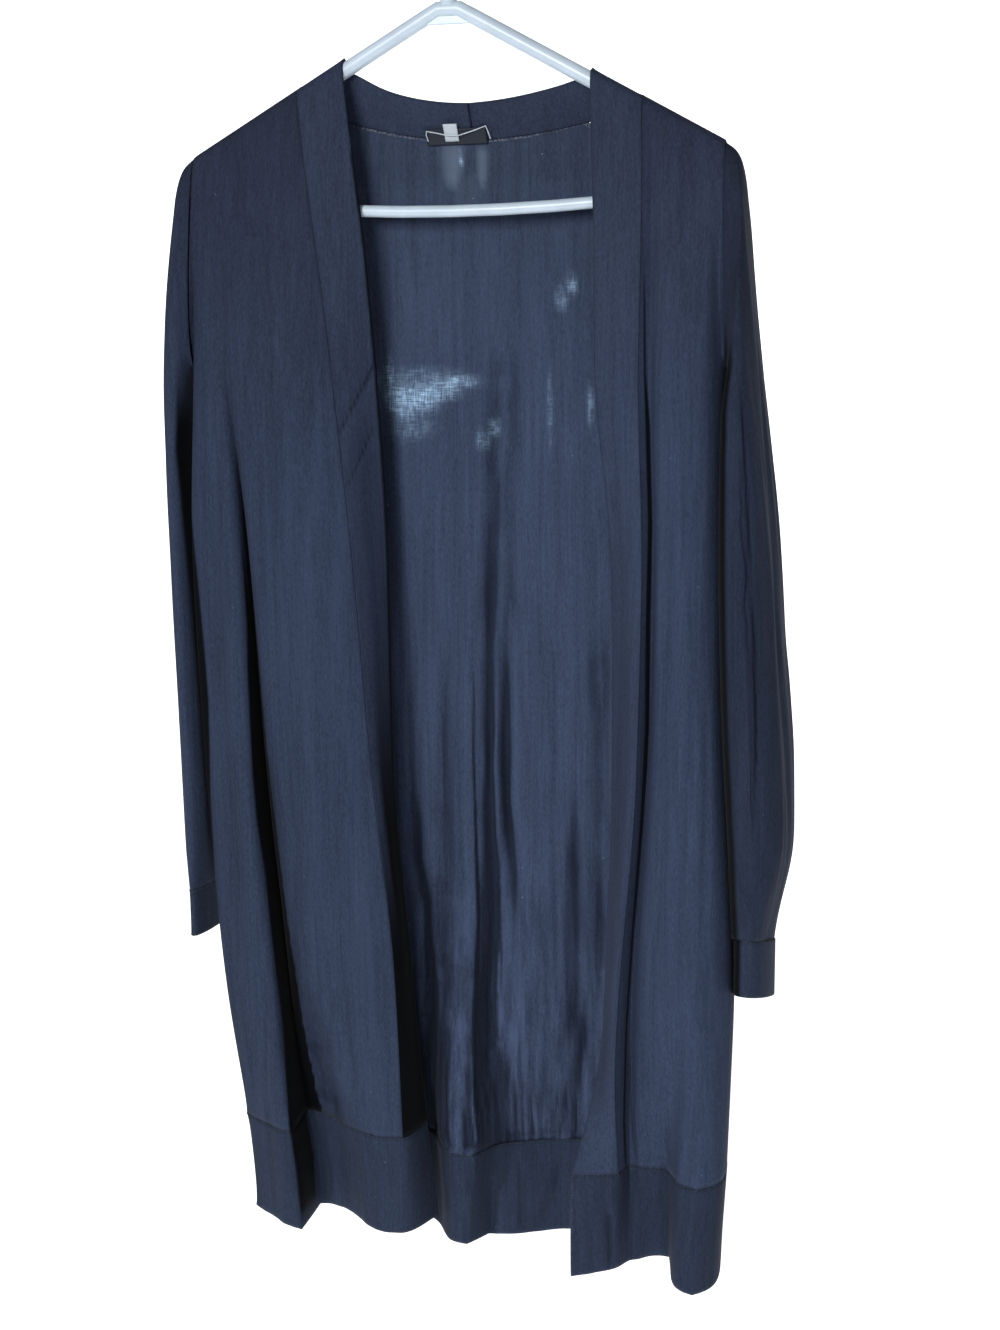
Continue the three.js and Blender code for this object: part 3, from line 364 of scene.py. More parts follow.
def back_push(x, z):
    """Step of each point of the back along Y, from its folds and gathers."""
    total = 0.5 * ripple(x, z, BACK_SEED) * ease(-150, -230, z)
    for fold in BACK_FOLDS:
        total += fold_push(x, z, fold)
    gathered = np.zeros_like(z)
    for row in [*GATHERS, *hidden_gathers()]:
        fold = {**row, "line": [(row["x"], row["z"]), (row["foot"], GATHER_FOOT_Z)]}
        gathered += fold_push(x, z, fold, 0.8, 0.01)
    seam = -942 - 16 * np.sin(math.pi * np.clip((x + 200) / 405, 0, 1))
    gathered *= ease(seam + 0.5, seam + 7.0, z)
    return (total + gathered) * between(BACK_SIDES, x)


def back_hem_push(x, z):
    folds = sum(fold_push(x, z, fold) for fold in BACK_HEM_FOLDS)
    return (0.3 * ripple(x, z, BACK_HEM_SEED) + folds) * between(BACK_HEM_SIDES, x)


def front_push(x, z):
    folds = sum(fold_push(x, z, fold) for fold in FRONT_FOLDS)
    inside = between(FRONT_SIDES, x) * ease(-165, -215, z)
    return (0.5 * ripple(x, z, FRONT_SEED) + folds) * inside


def sleeve_push(points, name):
    """Moves the outer side of a sleeve in and out along X."""
    side = 1 if name.startswith("right") else -1
    x, y, z = points.T
    slices = 60
    steps = np.linspace(z.min(), z.max(), slices)
    place = np.clip(np.digitize(z, steps), 1, slices - 1)
    counts = np.bincount(place, minlength=slices)
    sums = np.bincount(place, weights=x, minlength=slices)
    known = counts > 0
    middle = np.interp(z, steps[known], (sums[known] / counts[known]))
    outer = ease(-2.0, 5.0, (x - middle) * side)
    total = 0.5 * ripple(y, z, SLEEVE_SEED + side)
    for fold in SLEEVE_FOLDS[name]:
        total += fold_push(y, z, fold)
    ends = ease(z.max() - 4, z.max() - 60, z) * ease(z.min() + 3, z.min() + 30, z)
    moved = points.copy()
    moved[:, 0] -= side * total * outer * ends
    return moved


# Cloth pieces


def in_scene(name, data):
    piece = bpy.data.objects.new(name, data)
    bpy.context.scene.collection.objects.link(piece)
    return piece


def finished_mesh(piece):
    """The piece's mesh as it is seen, smooth, with its modifiers or its curve worked out."""
    bpy.context.view_layer.update()
    seen = piece.evaluated_get(bpy.context.evaluated_depsgraph_get())
    mesh = bpy.data.meshes.new_from_object(seen)
    mesh.polygons.foreach_set("use_smooth", [True] * len(mesh.polygons))
    return mesh


def rows_of(mesh):
    """The mesh's points in millimetres, one in each row."""
    flat = np.empty(len(mesh.vertices) * 3, np.float32)
    mesh.vertices.foreach_get("co", flat)
    return flat.reshape(-1, 3).astype(float) / MM


def put_rows(mesh, points):
    mesh.vertices.foreach_set("co", (points * MM).astype(np.float32).ravel())
    mesh.update()


def normals_of(mesh):
    flat = np.empty(len(mesh.vertices) * 3, np.float32)
    mesh.vertices.foreach_get("normal", flat)
    return flat.reshape(-1, 3)


def rim_of(shape, wall):
    """Thin edges across the wall's cut edges, and the points on them."""
    thin = [e for e in shape.edges if 0.6 * wall * MM < e.calc_length() < 1.35 * wall * MM]
    return set(thin), {v for e in thin for v in e.verts}


def let_out(vert, rim, thin, width):
    """Step of a rim point away from its own cloth."""
    inner = [e.other_vert(vert) for e in vert.link_edges if e.other_vert(vert) not in rim]
    if not inner:
        inner = [e.other_vert(vert) for e in vert.link_edges if e not in thin]
    away = Vector((0, 0, 0))
    for other in inner:
        away += (vert.co - other.co).normalized()
    return away.normalized() * width * MM if away.length > 1e-6 else away


def keep_rims(shape, thin, rim):
    """Marks the cut edges, and the turns of their corners, as sharp."""
    crease = shape.edges.layers.float["crease_edge"]
    along = [e for e in shape.edges if e not in thin and e.verts[0] in rim and e.verts[1] in rim]
    turns = {}
    for edge in along:
        edge[crease] = 1.0
        for vert in edge.verts:
            turns.setdefault(vert, []).append((edge.other_vert(vert).co - vert.co).normalized())
    for edge in thin:
        for vert in edge.verts:
            ways = turns.get(vert, [])
            if len(ways) == 2 and ways[0].dot(ways[1]) > -0.75:
                edge[crease] = 1.0


def cloth_copy(node, wall, levels, width=SEAM_LET_OUT):
    """A smooth copy of a solid's cloth, with its triangles paired and its rims kept."""
    shape = bmesh.new()
    shape.from_mesh(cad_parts[node].data)
    bmesh.ops.remove_doubles(shape, verts=shape.verts, dist=1e-5)
    bmesh.ops.join_triangles(
        shape, faces=shape.faces, angle_face_threshold=math.pi, angle_shape_threshold=math.pi
    )
    mark = shape.verts.layers.float.new("rim")
    shape.edges.layers.float.new("crease_edge")
    thin, rim = rim_of(shape, wall)
    steps = {vert: let_out(vert, rim, thin, width) for vert in rim}
    for vert, step in steps.items():
        vert.co += step
        vert[mark] = 1.0
    keep_rims(shape, thin, rim)
    mesh = bpy.data.meshes.new(f"{node}_cloth")
    shape.to_mesh(mesh)
    shape.free()
    piece = in_scene(f"{node}_cloth", mesh)
    smooth = piece.modifiers.new("smooth", "SUBSURF")
    smooth.levels = smooth.render_levels = levels
    finished = finished_mesh(piece)
    piece.modifiers.clear()
    piece.data = finished
    finished.name = piece.name
    return piece


def paint(mesh, name, values):
    layer = mesh.attributes.get(name) or mesh.attributes.new(name, "FLOAT", "POINT")
    layer.data.foreach_set("value", values.astype(np.float32))


def seam_distance(mesh, points):
    """Distance of each point from the piece's nearest cut edge, up to 8."""
    marks = np.empty(len(mesh.vertices), np.float32)
    mesh.attributes["rim"].data.foreach_get("value", marks)
    on_rim = points[marks > 0.999]
    tree = KDTree(len(on_rim))
    for index, place in enumerate(on_rim):
        tree.insert(place, index)
    tree.balance()
    return np.array([min(tree.find(place)[2], 8.0) for place in points])


def lowest_near(points, y, half_x, half_z):
    """For each point, the foremost Y of the cloth around it, seen straight from the front."""
    step_x, step_z = 1.5, 6.0
    column = ((points[:, 0] - AREA_LEFT_X) / step_x).astype(int)
    row = ((points[:, 2] - AREA_FOOT_Z) / step_z).astype(int)
    far_off = 1e3
    grid = np.full((int(AREA_HEIGHT / step_z), int(AREA_WIDTH / step_x)), far_off)
    np.minimum.at(grid, (row, column), y)
    for axis, reach in ((1, int(half_x / step_x)), (0, int(half_z / step_z))):
        shifted = [np.roll(grid, k, axis) for k in range(-reach, reach + 1)]
        grid = np.minimum.reduce(shifted)
    return grid[row, column]


def soft_spots(x, z, table):
    """Strength of the soft oval spots of a table at each point."""
    total = np.zeros_like(x)
    for row in table:
        q = ((x - row["x"]) / row["wide"]) ** 2 + ((z - row["z"]) / row["high"]) ** 2
        total = np.maximum(total, row["strength"] * np.exp(-0.7 * q ** 1.6))
    return total


def tongues(x, z):
    """Strength of the painted pale tongues of light at each point: wide above, narrowing to a tip.
    """
    total = np.zeros_like(x)
    for row in TONGUES:
        part = np.clip((row["top"] - z) / (row["top"] - row["tip_z"]), 0, 1)
        centre = (row["left"] + row["right"]) / 2
        centre = centre + (row["tip_x"] - centre) * part ** 2
        half = 0.5 * (row["right"] - row["left"]) * np.sqrt(np.clip(1 - part ** 1.8, 0.02, 1))
        inside = np.exp(-((np.abs(x - centre) / half) ** 3)) * (1 - ease(0.7, 1.0, part))
        inside *= ease(row["top"] + 2, row["top"] - 8, z)
        total = np.maximum(total, row["strength"] * inside)
    return total


# Materials

FLECK_COLOUR = (0.16, 0.20, 0.27)
PALE_SEAM_LINE_COLOUR = (0.20, 0.22, 0.28)
LIT_KNIT_COLOUR = (0.13, 0.20, 0.31)
LIT_LOOP_COLOUR = (0.44, 0.65, 0.88)
LIGHT_UNDER_LABEL_COLOUR = (0.22, 0.29, 0.40)

# The knit's own unevenness, as shares of its colour
LOOP_SHADE = 0.16
WALE_SHADE = 0.09
STREAK_SHADE = 0.12
CLOUD_SHADE = 0.07
FLECKS_PER_METRE = 95
FLECK_RARITY = 0.9

# Heights in metres between which the knit's colour turns to the painted darker shade of the
# shoulders
SHOULDER_SHADE_TURNS = (-0.42, -0.14)
KNIT_ROUGHNESS = 0.92
KNIT_SPECULAR = 0.08
KNIT_SHEEN = 0.03
KNIT_SHEEN_ROUGHNESS = 0.4
KNIT_BUMP = 0.3
KNIT_BUMP_HEIGHT = 0.0005


def new_material(name):
    material = bpy.data.materials.new(name)
    material.use_nodes = True
    tree = material.node_tree
    return material, tree, tree.nodes["Principled BSDF"]


def new_group(name, inputs, outputs):
    group = bpy.data.node_groups.new(name, "ShaderNodeTree")
    for label, kind, value in inputs:
        socket = group.interface.new_socket(label, in_out="INPUT", socket_type=kind)
        if value is not None:
            socket.default_value = value
    for label, kind in outputs:
        group.interface.new_socket(label, in_out="OUTPUT", socket_type=kind)
    return group, group.nodes.new("NodeGroupInput"), group.nodes.new("NodeGroupOutput")


def put(tree, socket, value):
    if isinstance(value, bpy.types.NodeSocket):
        tree.links.new(value, socket)
    elif value is not None:
        socket.default_value = value


def maths(tree, operation, a, b=None, c=None):
    node = tree.nodes.new("ShaderNodeMath")
    node.operation = operation
    for socket, value in zip(node.inputs, (a, b, c)):
        put(tree, socket, value)
    return node.outputs[0]


def noise(tree, place, stretch, scale, detail=2.0, rough=0.5):
    mapping = tree.nodes.new("ShaderNodeMapping")
    mapping.inputs["Scale"].default_value = stretch
    tree.links.new(place, mapping.inputs["Vector"])
    node = tree.nodes.new("ShaderNodeTexNoise")
    node.inputs["Scale"].default_value = scale
    node.inputs["Detail"].default_value = detail
    node.inputs["Roughness"].default_value = rough
    tree.links.new(mapping.outputs[0], node.inputs["Vector"])
    return node.outputs["Fac"]


def ramp(tree, value, low, high, to_low=0.0, to_high=1.0, kind="SMOOTHSTEP"):
    node = tree.nodes.new("ShaderNodeMapRange")
    node.interpolation_type = kind
    limits = {"From Min": low, "From Max": high, "To Min": to_low, "To Max": to_high}
    for name, number in limits.items():
        node.inputs[name].default_value = number
    tree.links.new(value, node.inputs["Value"])
    return node.outputs[0]


def swing(tree, value, reach=1.0):
    """A noise spread evenly to both sides of zero."""
    return ramp(tree, value, 0.3, 0.7, -reach, reach, "LINEAR")


def blend(tree, factor, a, b):
    node = tree.nodes.new("ShaderNodeMix")
    node.data_type = "RGBA"
    first, second = [s for s in node.inputs if s.type == "RGBA"]
    put(tree, node.inputs[0], factor)
    put(tree, first, a if isinstance(a, bpy.types.NodeSocket) else (*a, 1.0))
    put(tree, second, b if isinstance(b, bpy.types.NodeSocket) else (*b, 1.0))
    return [s for s in node.outputs if s.type == "RGBA"][0]


def scaled(tree, colour, amount):
    node = tree.nodes.new("ShaderNodeVectorMath")
    node.operation = "SCALE"
    put(tree, node.inputs[0], colour)
    put(tree, node.inputs["Scale"], amount)
    return node.outputs[0]


def attribute(tree, name):
    node = tree.nodes.new("ShaderNodeAttribute")
    node.attribute_name = name
    return node.outputs["Fac"]


def knit_group():
    """Fine jersey: short upright loops, long faint streaks and rare pale flecks."""
    group, given, made = new_group(
        "Fine knit",
        [("Place", "NodeSocketVector", None), ("Streaks", "NodeSocketFloat", 1.0),
         ("Flecks", "NodeSocketFloat", 1.0)],
        [("Shade", "NodeSocketFloat"), ("Fleck", "NodeSocketFloat"),
         ("Height", "NodeSocketFloat")],
    )
    at = given.outputs["Place"]
    loops = noise(group, at, (1, 1, 0.35), 900, 1.0)
    wales = noise(group, at, (1, 1, 0.03), 560, 1.0)
    long_streaks = noise(group, at, (1, 1, 0.045), 95, 2.0, 0.6)
    clouds = noise(group, at, (1, 1, 0.5), 14, 2.0)
    shade = maths(group, "MULTIPLY_ADD", swing(group, loops), LOOP_SHADE, 1.0)
    shade = maths(group, "MULTIPLY_ADD", swing(group, wales), WALE_SHADE, shade)
    drawn = swing(group, long_streaks, STREAK_SHADE)
    shade = maths(group, "MULTIPLY_ADD", drawn, given.outputs["Streaks"], shade)
    shade = maths(group, "MULTIPLY_ADD", swing(group, clouds), CLOUD_SHADE, shade)
    dots = group.nodes.new("ShaderNodeTexVoronoi")
    dots.inputs["Scale"].default_value = FLECKS_PER_METRE
    group.links.new(at, dots.inputs["Vector"])
    near = ramp(group, dots.outputs["Distance"], 0.03, 0.07, 1, 0)
    chosen = group.nodes.new("ShaderNodeSeparateColor")
    group.links.new(dots.outputs["Color"], chosen.inputs[0])
    rare = maths(group, "GREATER_THAN", chosen.outputs[0], FLECK_RARITY)
    fleck = maths(group, "MULTIPLY", maths(group, "MULTIPLY", near, rare), given.outputs["Flecks"])
    height = maths(group, "MULTIPLY_ADD", loops, 0.6, maths(group, "MULTIPLY", wales, 0.8))
    group.links.new(shade, made.inputs["Shade"])
    group.links.new(fleck, made.inputs["Fleck"])
    group.links.new(height, made.inputs["Height"])
    return group


def through_light(tree, place, colour):
    """Painted light: pale loops and ladders where light comes through the knit, and the pale
    tongues of light under the label.
    """
    given = attribute(tree, "light")
    rows = ramp(tree, noise(tree, place, (0.22, 1, 2.4), 380, 1.0), 0.40, 0.60)
    wales = ramp(tree, noise(tree, place, (2.4, 1, 0.22), 380, 1.0), 0.40, 0.60)
    clouds = ramp(tree, noise(tree, place, (1, 1, 1), 150, 2.0), 0.35, 0.62, 0.35, 1.0)
    crossed = maths(tree, "MAXIMUM", maths(tree, "MULTIPLY", rows, wales),
                    maths(tree, "MULTIPLY", maths(tree, "MAXIMUM", rows, wales), 0.55))
    speck = maths(tree, "MULTIPLY", maths(tree, "MULTIPLY", crossed, clouds), given)
    colour = blend(tree, maths(tree, "MULTIPLY", given, 0.45), colour, LIT_KNIT_COLOUR)
    colour = blend(tree, speck, colour, LIT_LOOP_COLOUR)
    return blend(tree, attribute(tree, "light_under_label"), colour, LIGHT_UNDER_LABEL_COLOUR)


def gathered_shade(tree, place, height):
    """Uneven light on the many small upright wrinkles low on the back."""
    wrinkles = noise(tree, place, (1, 1, 0.13), 165, 3.0, 0.6)
    wrinkles = ramp(tree, wrinkles, 0.34, 0.66, -0.32, 0.30, "LINEAR")
    low = ramp(tree, height, -0.60, -0.88)
    return maths(tree, "MULTIPLY_ADD", wrinkles, low, 1.0)


def knit_material(name, colour, upper, streaks=1.0, flecks=1.0, light=False, pale_seam=0.0):
    """Navy knit: its colour, its painted darker shade at the shoulders, the marks that it shows
    and the painted shade of its hollows.
    """
    material, tree, shader = new_material(name)
    place = tree.nodes.new("ShaderNodeTexCoord").outputs["Object"]
    knit = tree.nodes.new("ShaderNodeGroup")
    knit.node_tree = FINE_KNIT
    tree.links.new(place, knit.inputs["Place"])
    knit.inputs["Streaks"].default_value = streaks
    knit.inputs["Flecks"].default_value = flecks
    parts = tree.nodes.new("ShaderNodeSeparateXYZ")
    tree.links.new(place, parts.inputs[0])
    height = parts.outputs["Z"]
    # Painted shade: the knit turns darker towards the shoulders
    shaded_by_height = blend(tree, ramp(tree, height, *SHOULDER_SHADE_TURNS), colour, upper)
    result = scaled(tree, shaded_by_height, knit.outputs["Shade"])
    result = blend(tree, knit.outputs["Fleck"], result, FLECK_COLOUR)
    if light:
        result = scaled(tree, result, gathered_shade(tree, place, height))
        result = through_light(tree, place, result)
    seam = attribute(tree, "seam")
    if pale_seam:
        ragged = ramp(tree, noise(tree, place, (1, 1, 1), 700, 2.0, 0.7), 0.42, 0.62)
        width = 3.4 if light else 1.9
        line = maths(tree, "MULTIPLY", ramp(tree, seam, width - 1.2, width, pale_seam, 0), ragged)
        if light:
            line = maths(tree, "MULTIPLY", line, ramp(tree, height, -0.24, -0.20))
        result = blend(tree, line, result, PALE_SEAM_LINE_COLOUR)
    # Painted shadow deep in the hollows, and darker within 3 mm of each cut edge
    beside = ramp(tree, seam, 0.0, 3.0, 0.86, 1.0)
    depth = ramp(tree, attribute(tree, "hollow"), 0.0, 1.0, 1.0, SHADOW_LEAVES, "LINEAR")
    result = scaled(tree, result, maths(tree, "MULTIPLY", beside, depth))
    tree.links.new(result, shader.inputs["Base Color"])
    shader.inputs["Roughness"].default_value = KNIT_ROUGHNESS
    shader.inputs["Specular IOR Level"].default_value = KNIT_SPECULAR
    shader.inputs["Sheen Weight"].default_value = KNIT_SHEEN
    shader.inputs["Sheen Roughness"].default_value = KNIT_SHEEN_ROUGHNESS
    bump = tree.nodes.new("ShaderNodeBump")
    bump.inputs["Strength"].default_value = KNIT_BUMP
    bump.inputs["Distance"].default_value = KNIT_BUMP_HEIGHT
    tree.links.new(knit.outputs["Height"], bump.inputs["Height"])
    tree.links.new(bump.outputs[0], shader.inputs["Normal"])
    return material


def plain_material(name, colour, roughness, specular=0.3):
    """One colour, very slightly cloudy."""
    material, tree, shader = new_material(name)
    place = tree.nodes.new("ShaderNodeTexCoord").outputs["Object"]
    cloudy = noise(tree, place, (1, 1, 1), 60, 3.0, 0.6)
    cloudy = ramp(tree, cloudy, 0.3, 0.7, 0.95, 1.04, "LINEAR")
    tree.links.new(scaled(tree, colour, cloudy), shader.inputs["Base Color"])
    shader.inputs["Roughness"].default_value = roughness
    shader.inputs["Specular IOR Level"].default_value = specular
    return material


FINE_KNIT = knit_group()
# Each knit: its colour, and its colour towards the shoulders. The pieces are one knit: their
# colours differ as painted light and shade, and the colour towards the shoulders is painted darker
# shade.
LEFT_FRONT = ((0.0292, 0.0415, 0.0770), (0.0225, 0.0282, 0.0510))
RIGHT_FRONT = ((0.0350, 0.0495, 0.0920), (0.0278, 0.0350, 0.0625))
BACK = ((0.0425, 0.0595, 0.1090), (0.0350, 0.0475, 0.0820))
LEFT_SLEEVE = ((0.0300, 0.0420, 0.0770), (0.0230, 0.0295, 0.0520))
RIGHT_SLEEVE = ((0.0200, 0.0280, 0.0510), (0.0195, 0.0245, 0.0430))
LEFT_BAND = ((0.0320, 0.0440, 0.0800), (0.0300, 0.0400, 0.0720))
RIGHT_BAND = ((0.0355, 0.0490, 0.0890), (0.0290, 0.0385, 0.0680))
HEM = ((0.0232, 0.0332, 0.0595), (0.0232, 0.0332, 0.0595))
KNITS = {
    "left front": knit_material("Knit of the left front", *LEFT_FRONT, 1.0, 0.5),
    "right front": knit_material("Knit of the right front", *RIGHT_FRONT, 1.0, 0.5),
    "back": knit_material("Knit of the back", *BACK, 1.3, 1.0, light=True, pale_seam=0.75),
    "left sleeve": knit_material("Knit of the left sleeve", *LEFT_SLEEVE, 1.0, 0.3),
    "right sleeve": knit_material("Knit of the right sleeve", *RIGHT_SLEEVE, 1.0, 0.3),
    "left band": knit_material("Knit of the left band", *LEFT_BAND, 0.7, 0.3),
    "right band": knit_material("Knit of the right band", *RIGHT_BAND, 0.7, 0.3),
    "hem": knit_material("Knit of the hems and cuffs", *HEM, 0.7, 0.5, pale_seam=0.18),
}

# Each piece: wall, material, what holds it, and its flat cut in metres and square metres
CLOTH = {
    "back_panel": (PANEL_WALL, "back", ("hanger",), 0.46, 0.80, 0.336),
    "back_hem_band": (HEM_WALL, "hem", ("back_panel",), 0.450, 0.079, 0.0345),
    "left_front_panel": (PANEL_WALL, "left front", ("hanger",), 0.19, 0.80, 0.133),
    "left_front_band": (BAND_WALL, "left band", ("hanger",), 0.036, 0.96, 0.0328),
    "left_hem_band": (HEM_WALL, "hem", ("left_front_panel",), 0.262, 0.080, 0.0196),
    "right_front_panel": (PANEL_WALL, "right front", ("hanger",), 0.125, 0.79, 0.077),
    "right_front_band": (BAND_WALL, "right band", ("hanger",), 0.036, 0.93, 0.0304),
    "right_hem_band": (HEM_WALL, "hem", ("right_front_panel",), 0.205, 0.080, 0.0153),
    "left_sleeve": (PANEL_WALL, "left sleeve", ("left_front_panel", "back_panel"),
                    0.215, 0.56, 0.0923),
    "right_sleeve": (PANEL_WALL, "right sleeve", ("right_front_panel", "back_panel"),
                     0.245, 0.57, 0.112),
    "left_cuff": (HEM_WALL, "hem", ("left_sleeve",), 0.165, 0.038, 0.0059),
    "right_cuff": (HEM_WALL, "hem", ("right_sleeve",), 0.170, 0.043, 0.0069),
}


def shaped(node, piece):
    """Lays the folds on one piece and gives its points."""
    points = rows_of(piece.data)
    x, y, z = points.T
    if node == "back_panel":
        near_edge = 1 - ease(0.5, NECK_REACH, seam_distance(piece.data, points))
        near_neck = near_edge * (z > NECK_FOOT_Z) * (np.abs(x) < NECK_HALF_WIDTH)
        points[:, 1] += back_push(x, z) + NECK_BACK_STEP * near_neck
        points[:, 2] += (NECK_UP_STEP + NECK_CORNER_UP * ease(50, 76, x)) * near_neck
        points[:, 0] += NECK_CORNER_OUT * ease(60, 76, points[:, 0]) * near_neck
    elif node == "back_hem_band":
        points[:, 1] += back_hem_push(x, z)
    elif node.endswith("sleeve"):
        points = sleeve_push(points, node)
        if node == "right_sleeve":
            carry_on(points, SLEEVE_CARRY + SLEEVE_CARRY_LOW * ease(-320, -380, points[:, 2]))
            narrowing = SLEEVE_NARROW * ease(-680, -760, points[:, 2])
            points[:, 0] -= np.maximum(points[:, 0] - SLEEVE_NARROW_X, 0) * narrowing
    elif node == "right_cuff":
        carry_on(points, CUFF_CARRY)
    elif "cuff" not in node:
        behind_neck = ease(-4.0, 2.0, y) * ease(-240.0, -200.0, z)
        points[:, 1] += front_push(x, z) * (1 - behind_neck)
    put_rows(piece.data, points)
    return points


def dressed(node, piece):
    """Gives one piece its knit, hangs it on the root and hides the solid it stands for."""
    _, knit, rests_on, width, length, area = CLOTH[node]
    piece.data.materials.clear()
    piece.data.materials.append(KNITS[knit])
    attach(piece, "root")
    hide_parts(node)


# Painted light on the back: light through its thin knit, and the pale tongues of light under the
# label
def paint_light_through_back(piece, points):
    x, z = points[:, 0], points[:, 2]
    facing = ease(0.1, 0.5, -normals_of(piece.data)[:, 1])
    paint(piece.data, "light", soft_spots(x, z, THROUGH_LIGHT) * facing)
    paint(piece.data, "light_under_label", tongues(x, z) * facing)


def hollows(node, points, foremost, back_foremost):
    """How deep each point lies in the shadow of the folds beside it."""
    x, y, z = points.T
    strips = strip_shadow(points, node)
    if node.startswith("back"):
        amount = BACK_HEM_HOLLOW if "hem" in node else BACK_HOLLOW
        return np.maximum(strips, amount * ease(1.2, 5.5, y - back_foremost))
    across = across_view(points)
    if node in ("right_sleeve", "right_cuff"):
        # Painted shadow along the edge of the right sleeve, where it goes behind the front
        lip = 1 - ease(1.0, 4.0, across - edge_by_height(across, z))
        return np.maximum(strips, lip * ease(-300, -350, z))
    depth = ease(4.0, 13.0, y - foremost) * ease(-230, -330, z)
    if node == "left_front_band":
        # Painted black shadow along the inner edge of the left band
        inner_edge = 1 - ease(1.2, 2.8, -across - edge_by_height(-across, z))
        depth = np.maximum(depth * ease(-540, -700, z), ease(-640, -790, z))
        depth = np.maximum(depth, BAND_EDGE_HOLLOW * inner_edge * ease(-120, -135, z))
    elif "hem" in node or node.startswith("right"):
        depth *= FLAT_FRONT_HOLLOW
    elif node != "left_front_panel":
        depth *= 0.0
    depth = np.maximum(depth, strips)
    gap = SLEEVE_GAP.get(node)
    if gap is None:
        return depth
    edge = np.interp(z, gap["z"], gap["x"])
    inside = ease(-1.2, 1.2, x - edge) if node == "left_sleeve" else ease(1.2, -1.2, x - edge)
    tall = ease(gap["z"][-1], gap["z"][-1] - 60, z) * ease(gap["z"][0], gap["z"][0] + 30, z)
    return np.maximum(depth, inside * tall)


def make_cloth():
    """All cloth pieces: first their shapes, and then the shadows between them."""
    pieces, places = {}, {}
    for node, (wall, *_) in CLOTH.items():
        pieces[node] = cloth_copy(node, wall, CLOTH_ROUNDS)
        places[node] = shaped(node, pieces[node])
    fronts = [n for n in CLOTH if not n.startswith("back")]
    joined = np.concatenate([places[n] for n in fronts])
    front_y = lowest_near(joined, joined[:, 1], 9, 6)
    ends = np.cumsum([len(places[n]) for n in fronts])
    foremost = dict(zip(fronts, np.split(front_y, ends[:-1])))
    for node, piece in pieces.items():
        points = places[node]
        back_y = lowest_near(points, points[:, 1], 7.5, 6) if node.startswith("back") else None
        paint(piece.data, "hollow", hollows(node, points, foremost.get(node), back_y))
        paint(piece.data, "seam", seam_distance(piece.data, points))
        if node == "back_panel":
            paint_light_through_back(piece, points)
        dressed(node, piece)


make_cloth()


# Label and size tab


def woven_piece(node, material):
    """A small flat piece sewn to the band."""
    piece = cloth_copy(node, LABEL_WALL, WOVEN_ROUNDS, 0.0)
    piece.data.materials.clear()
    piece.data.materials.append(material)
    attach(piece, "root")
    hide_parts(node)


WHITE_WEAVE = plain_material("White woven edging", (0.52, 0.58, 0.64), 0.7)
woven_piece("neck_label", plain_material("Dark woven label", (0.021, 0.026, 0.040), 0.6))
woven_piece("size_tab", WHITE_WEAVE)


# Rods made from curves


def rod(name, points, thickness, material, closed=False, widths=None, rounds=6):
    """A round rod along a line of points in millimetres."""
    curve = bpy.data.curves.new(name, "CURVE")
    curve.dimensions = "3D"
    curve.bevel_depth = thickness * MM
    curve.bevel_resolution = rounds
    curve.use_fill_caps = True
    line = curve.splines.new("POLY")
    line.points.add(len(points) - 1)
    for index, place in enumerate(points):
        line.points[index].co = (*[v * MM for v in place], 1)
        line.points[index].radius = widths[index] if widths else 1.0
    line.use_cyclic_u = closed
    holder = in_scene(name, curve)
    mesh = finished_mesh(holder)
    bpy.data.objects.remove(holder)
    mesh.name = name
    mesh.materials.clear()
    mesh.materials.append(material)
    piece = in_scene(name, mesh)
    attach(piece, "root")
    return piece


APEX_Z = -85
BAR_Z = -229
TUBE_RADIUS = 5.5
BAR_SHARE = 0.78  # how thick the middle of the bar is beside the tube
ARM_BEND_X = 196.6
END_RADIUS = 13.5
ARM_SLOPES = {-1: 0.537, 1: 0.549}
HOOK_Z = -18
HOOK_BOW_RADIUS = 22.5
HOOK_ROD_RADIUS = 4.5
COLLAR_RADIUS = 6.3
COLLAR_TOP_Z = -70.5
COLLAR_FOOT_Z = -87
WEB_HALF_WIDTH = 27
WEB_WALL = 4
WEB_EDGE = 0.4


def arm_z(side, x):
    return APEX_Z - ARM_SLOPES[side] * x


def arc(x, z, radius, start, end, steps):
    angles = [math.radians(start + (end - start) * i / steps) for i in range(steps + 1)]
    return [(x + radius * math.cos(a), 0.0, z + radius * math.sin(a)) for a in angles]


def half_loop(side):
    """One arm, its rounded end and half of the crossbar, with their widths."""
    tilt = math.atan(ARM_SLOPES[side])
    centre_x = ARM_BEND_X - END_RADIUS * math.sin(tilt)
    centre_z = arm_z(side, ARM_BEND_X) - END_RADIUS * math.cos(tilt)
    end = arc(centre_x, centre_z, END_RADIUS, 90 - math.degrees(tilt), -94, 18)
    arm = [(x, 0.0, arm_z(side, max(x, 8))) for x in (4, 8, 20, 60, 110, 160)]
    last_x, _, last_z = end[-1]
    parts = (0.96, 0.9, 0.8, 0.6, 0.4, 0.2)
    bar = [(last_x * part, 0.0, BAR_Z + (last_z - BAR_Z) * part ** 2) for part in parts]
    widths = [1.0] * (len(arm) + len(end)) + [0.94, 0.86, 0.8] + [BAR_SHARE] * 3
    return [(side * x, y, z) for x, y, z in [*arm, *end, *bar]], widths


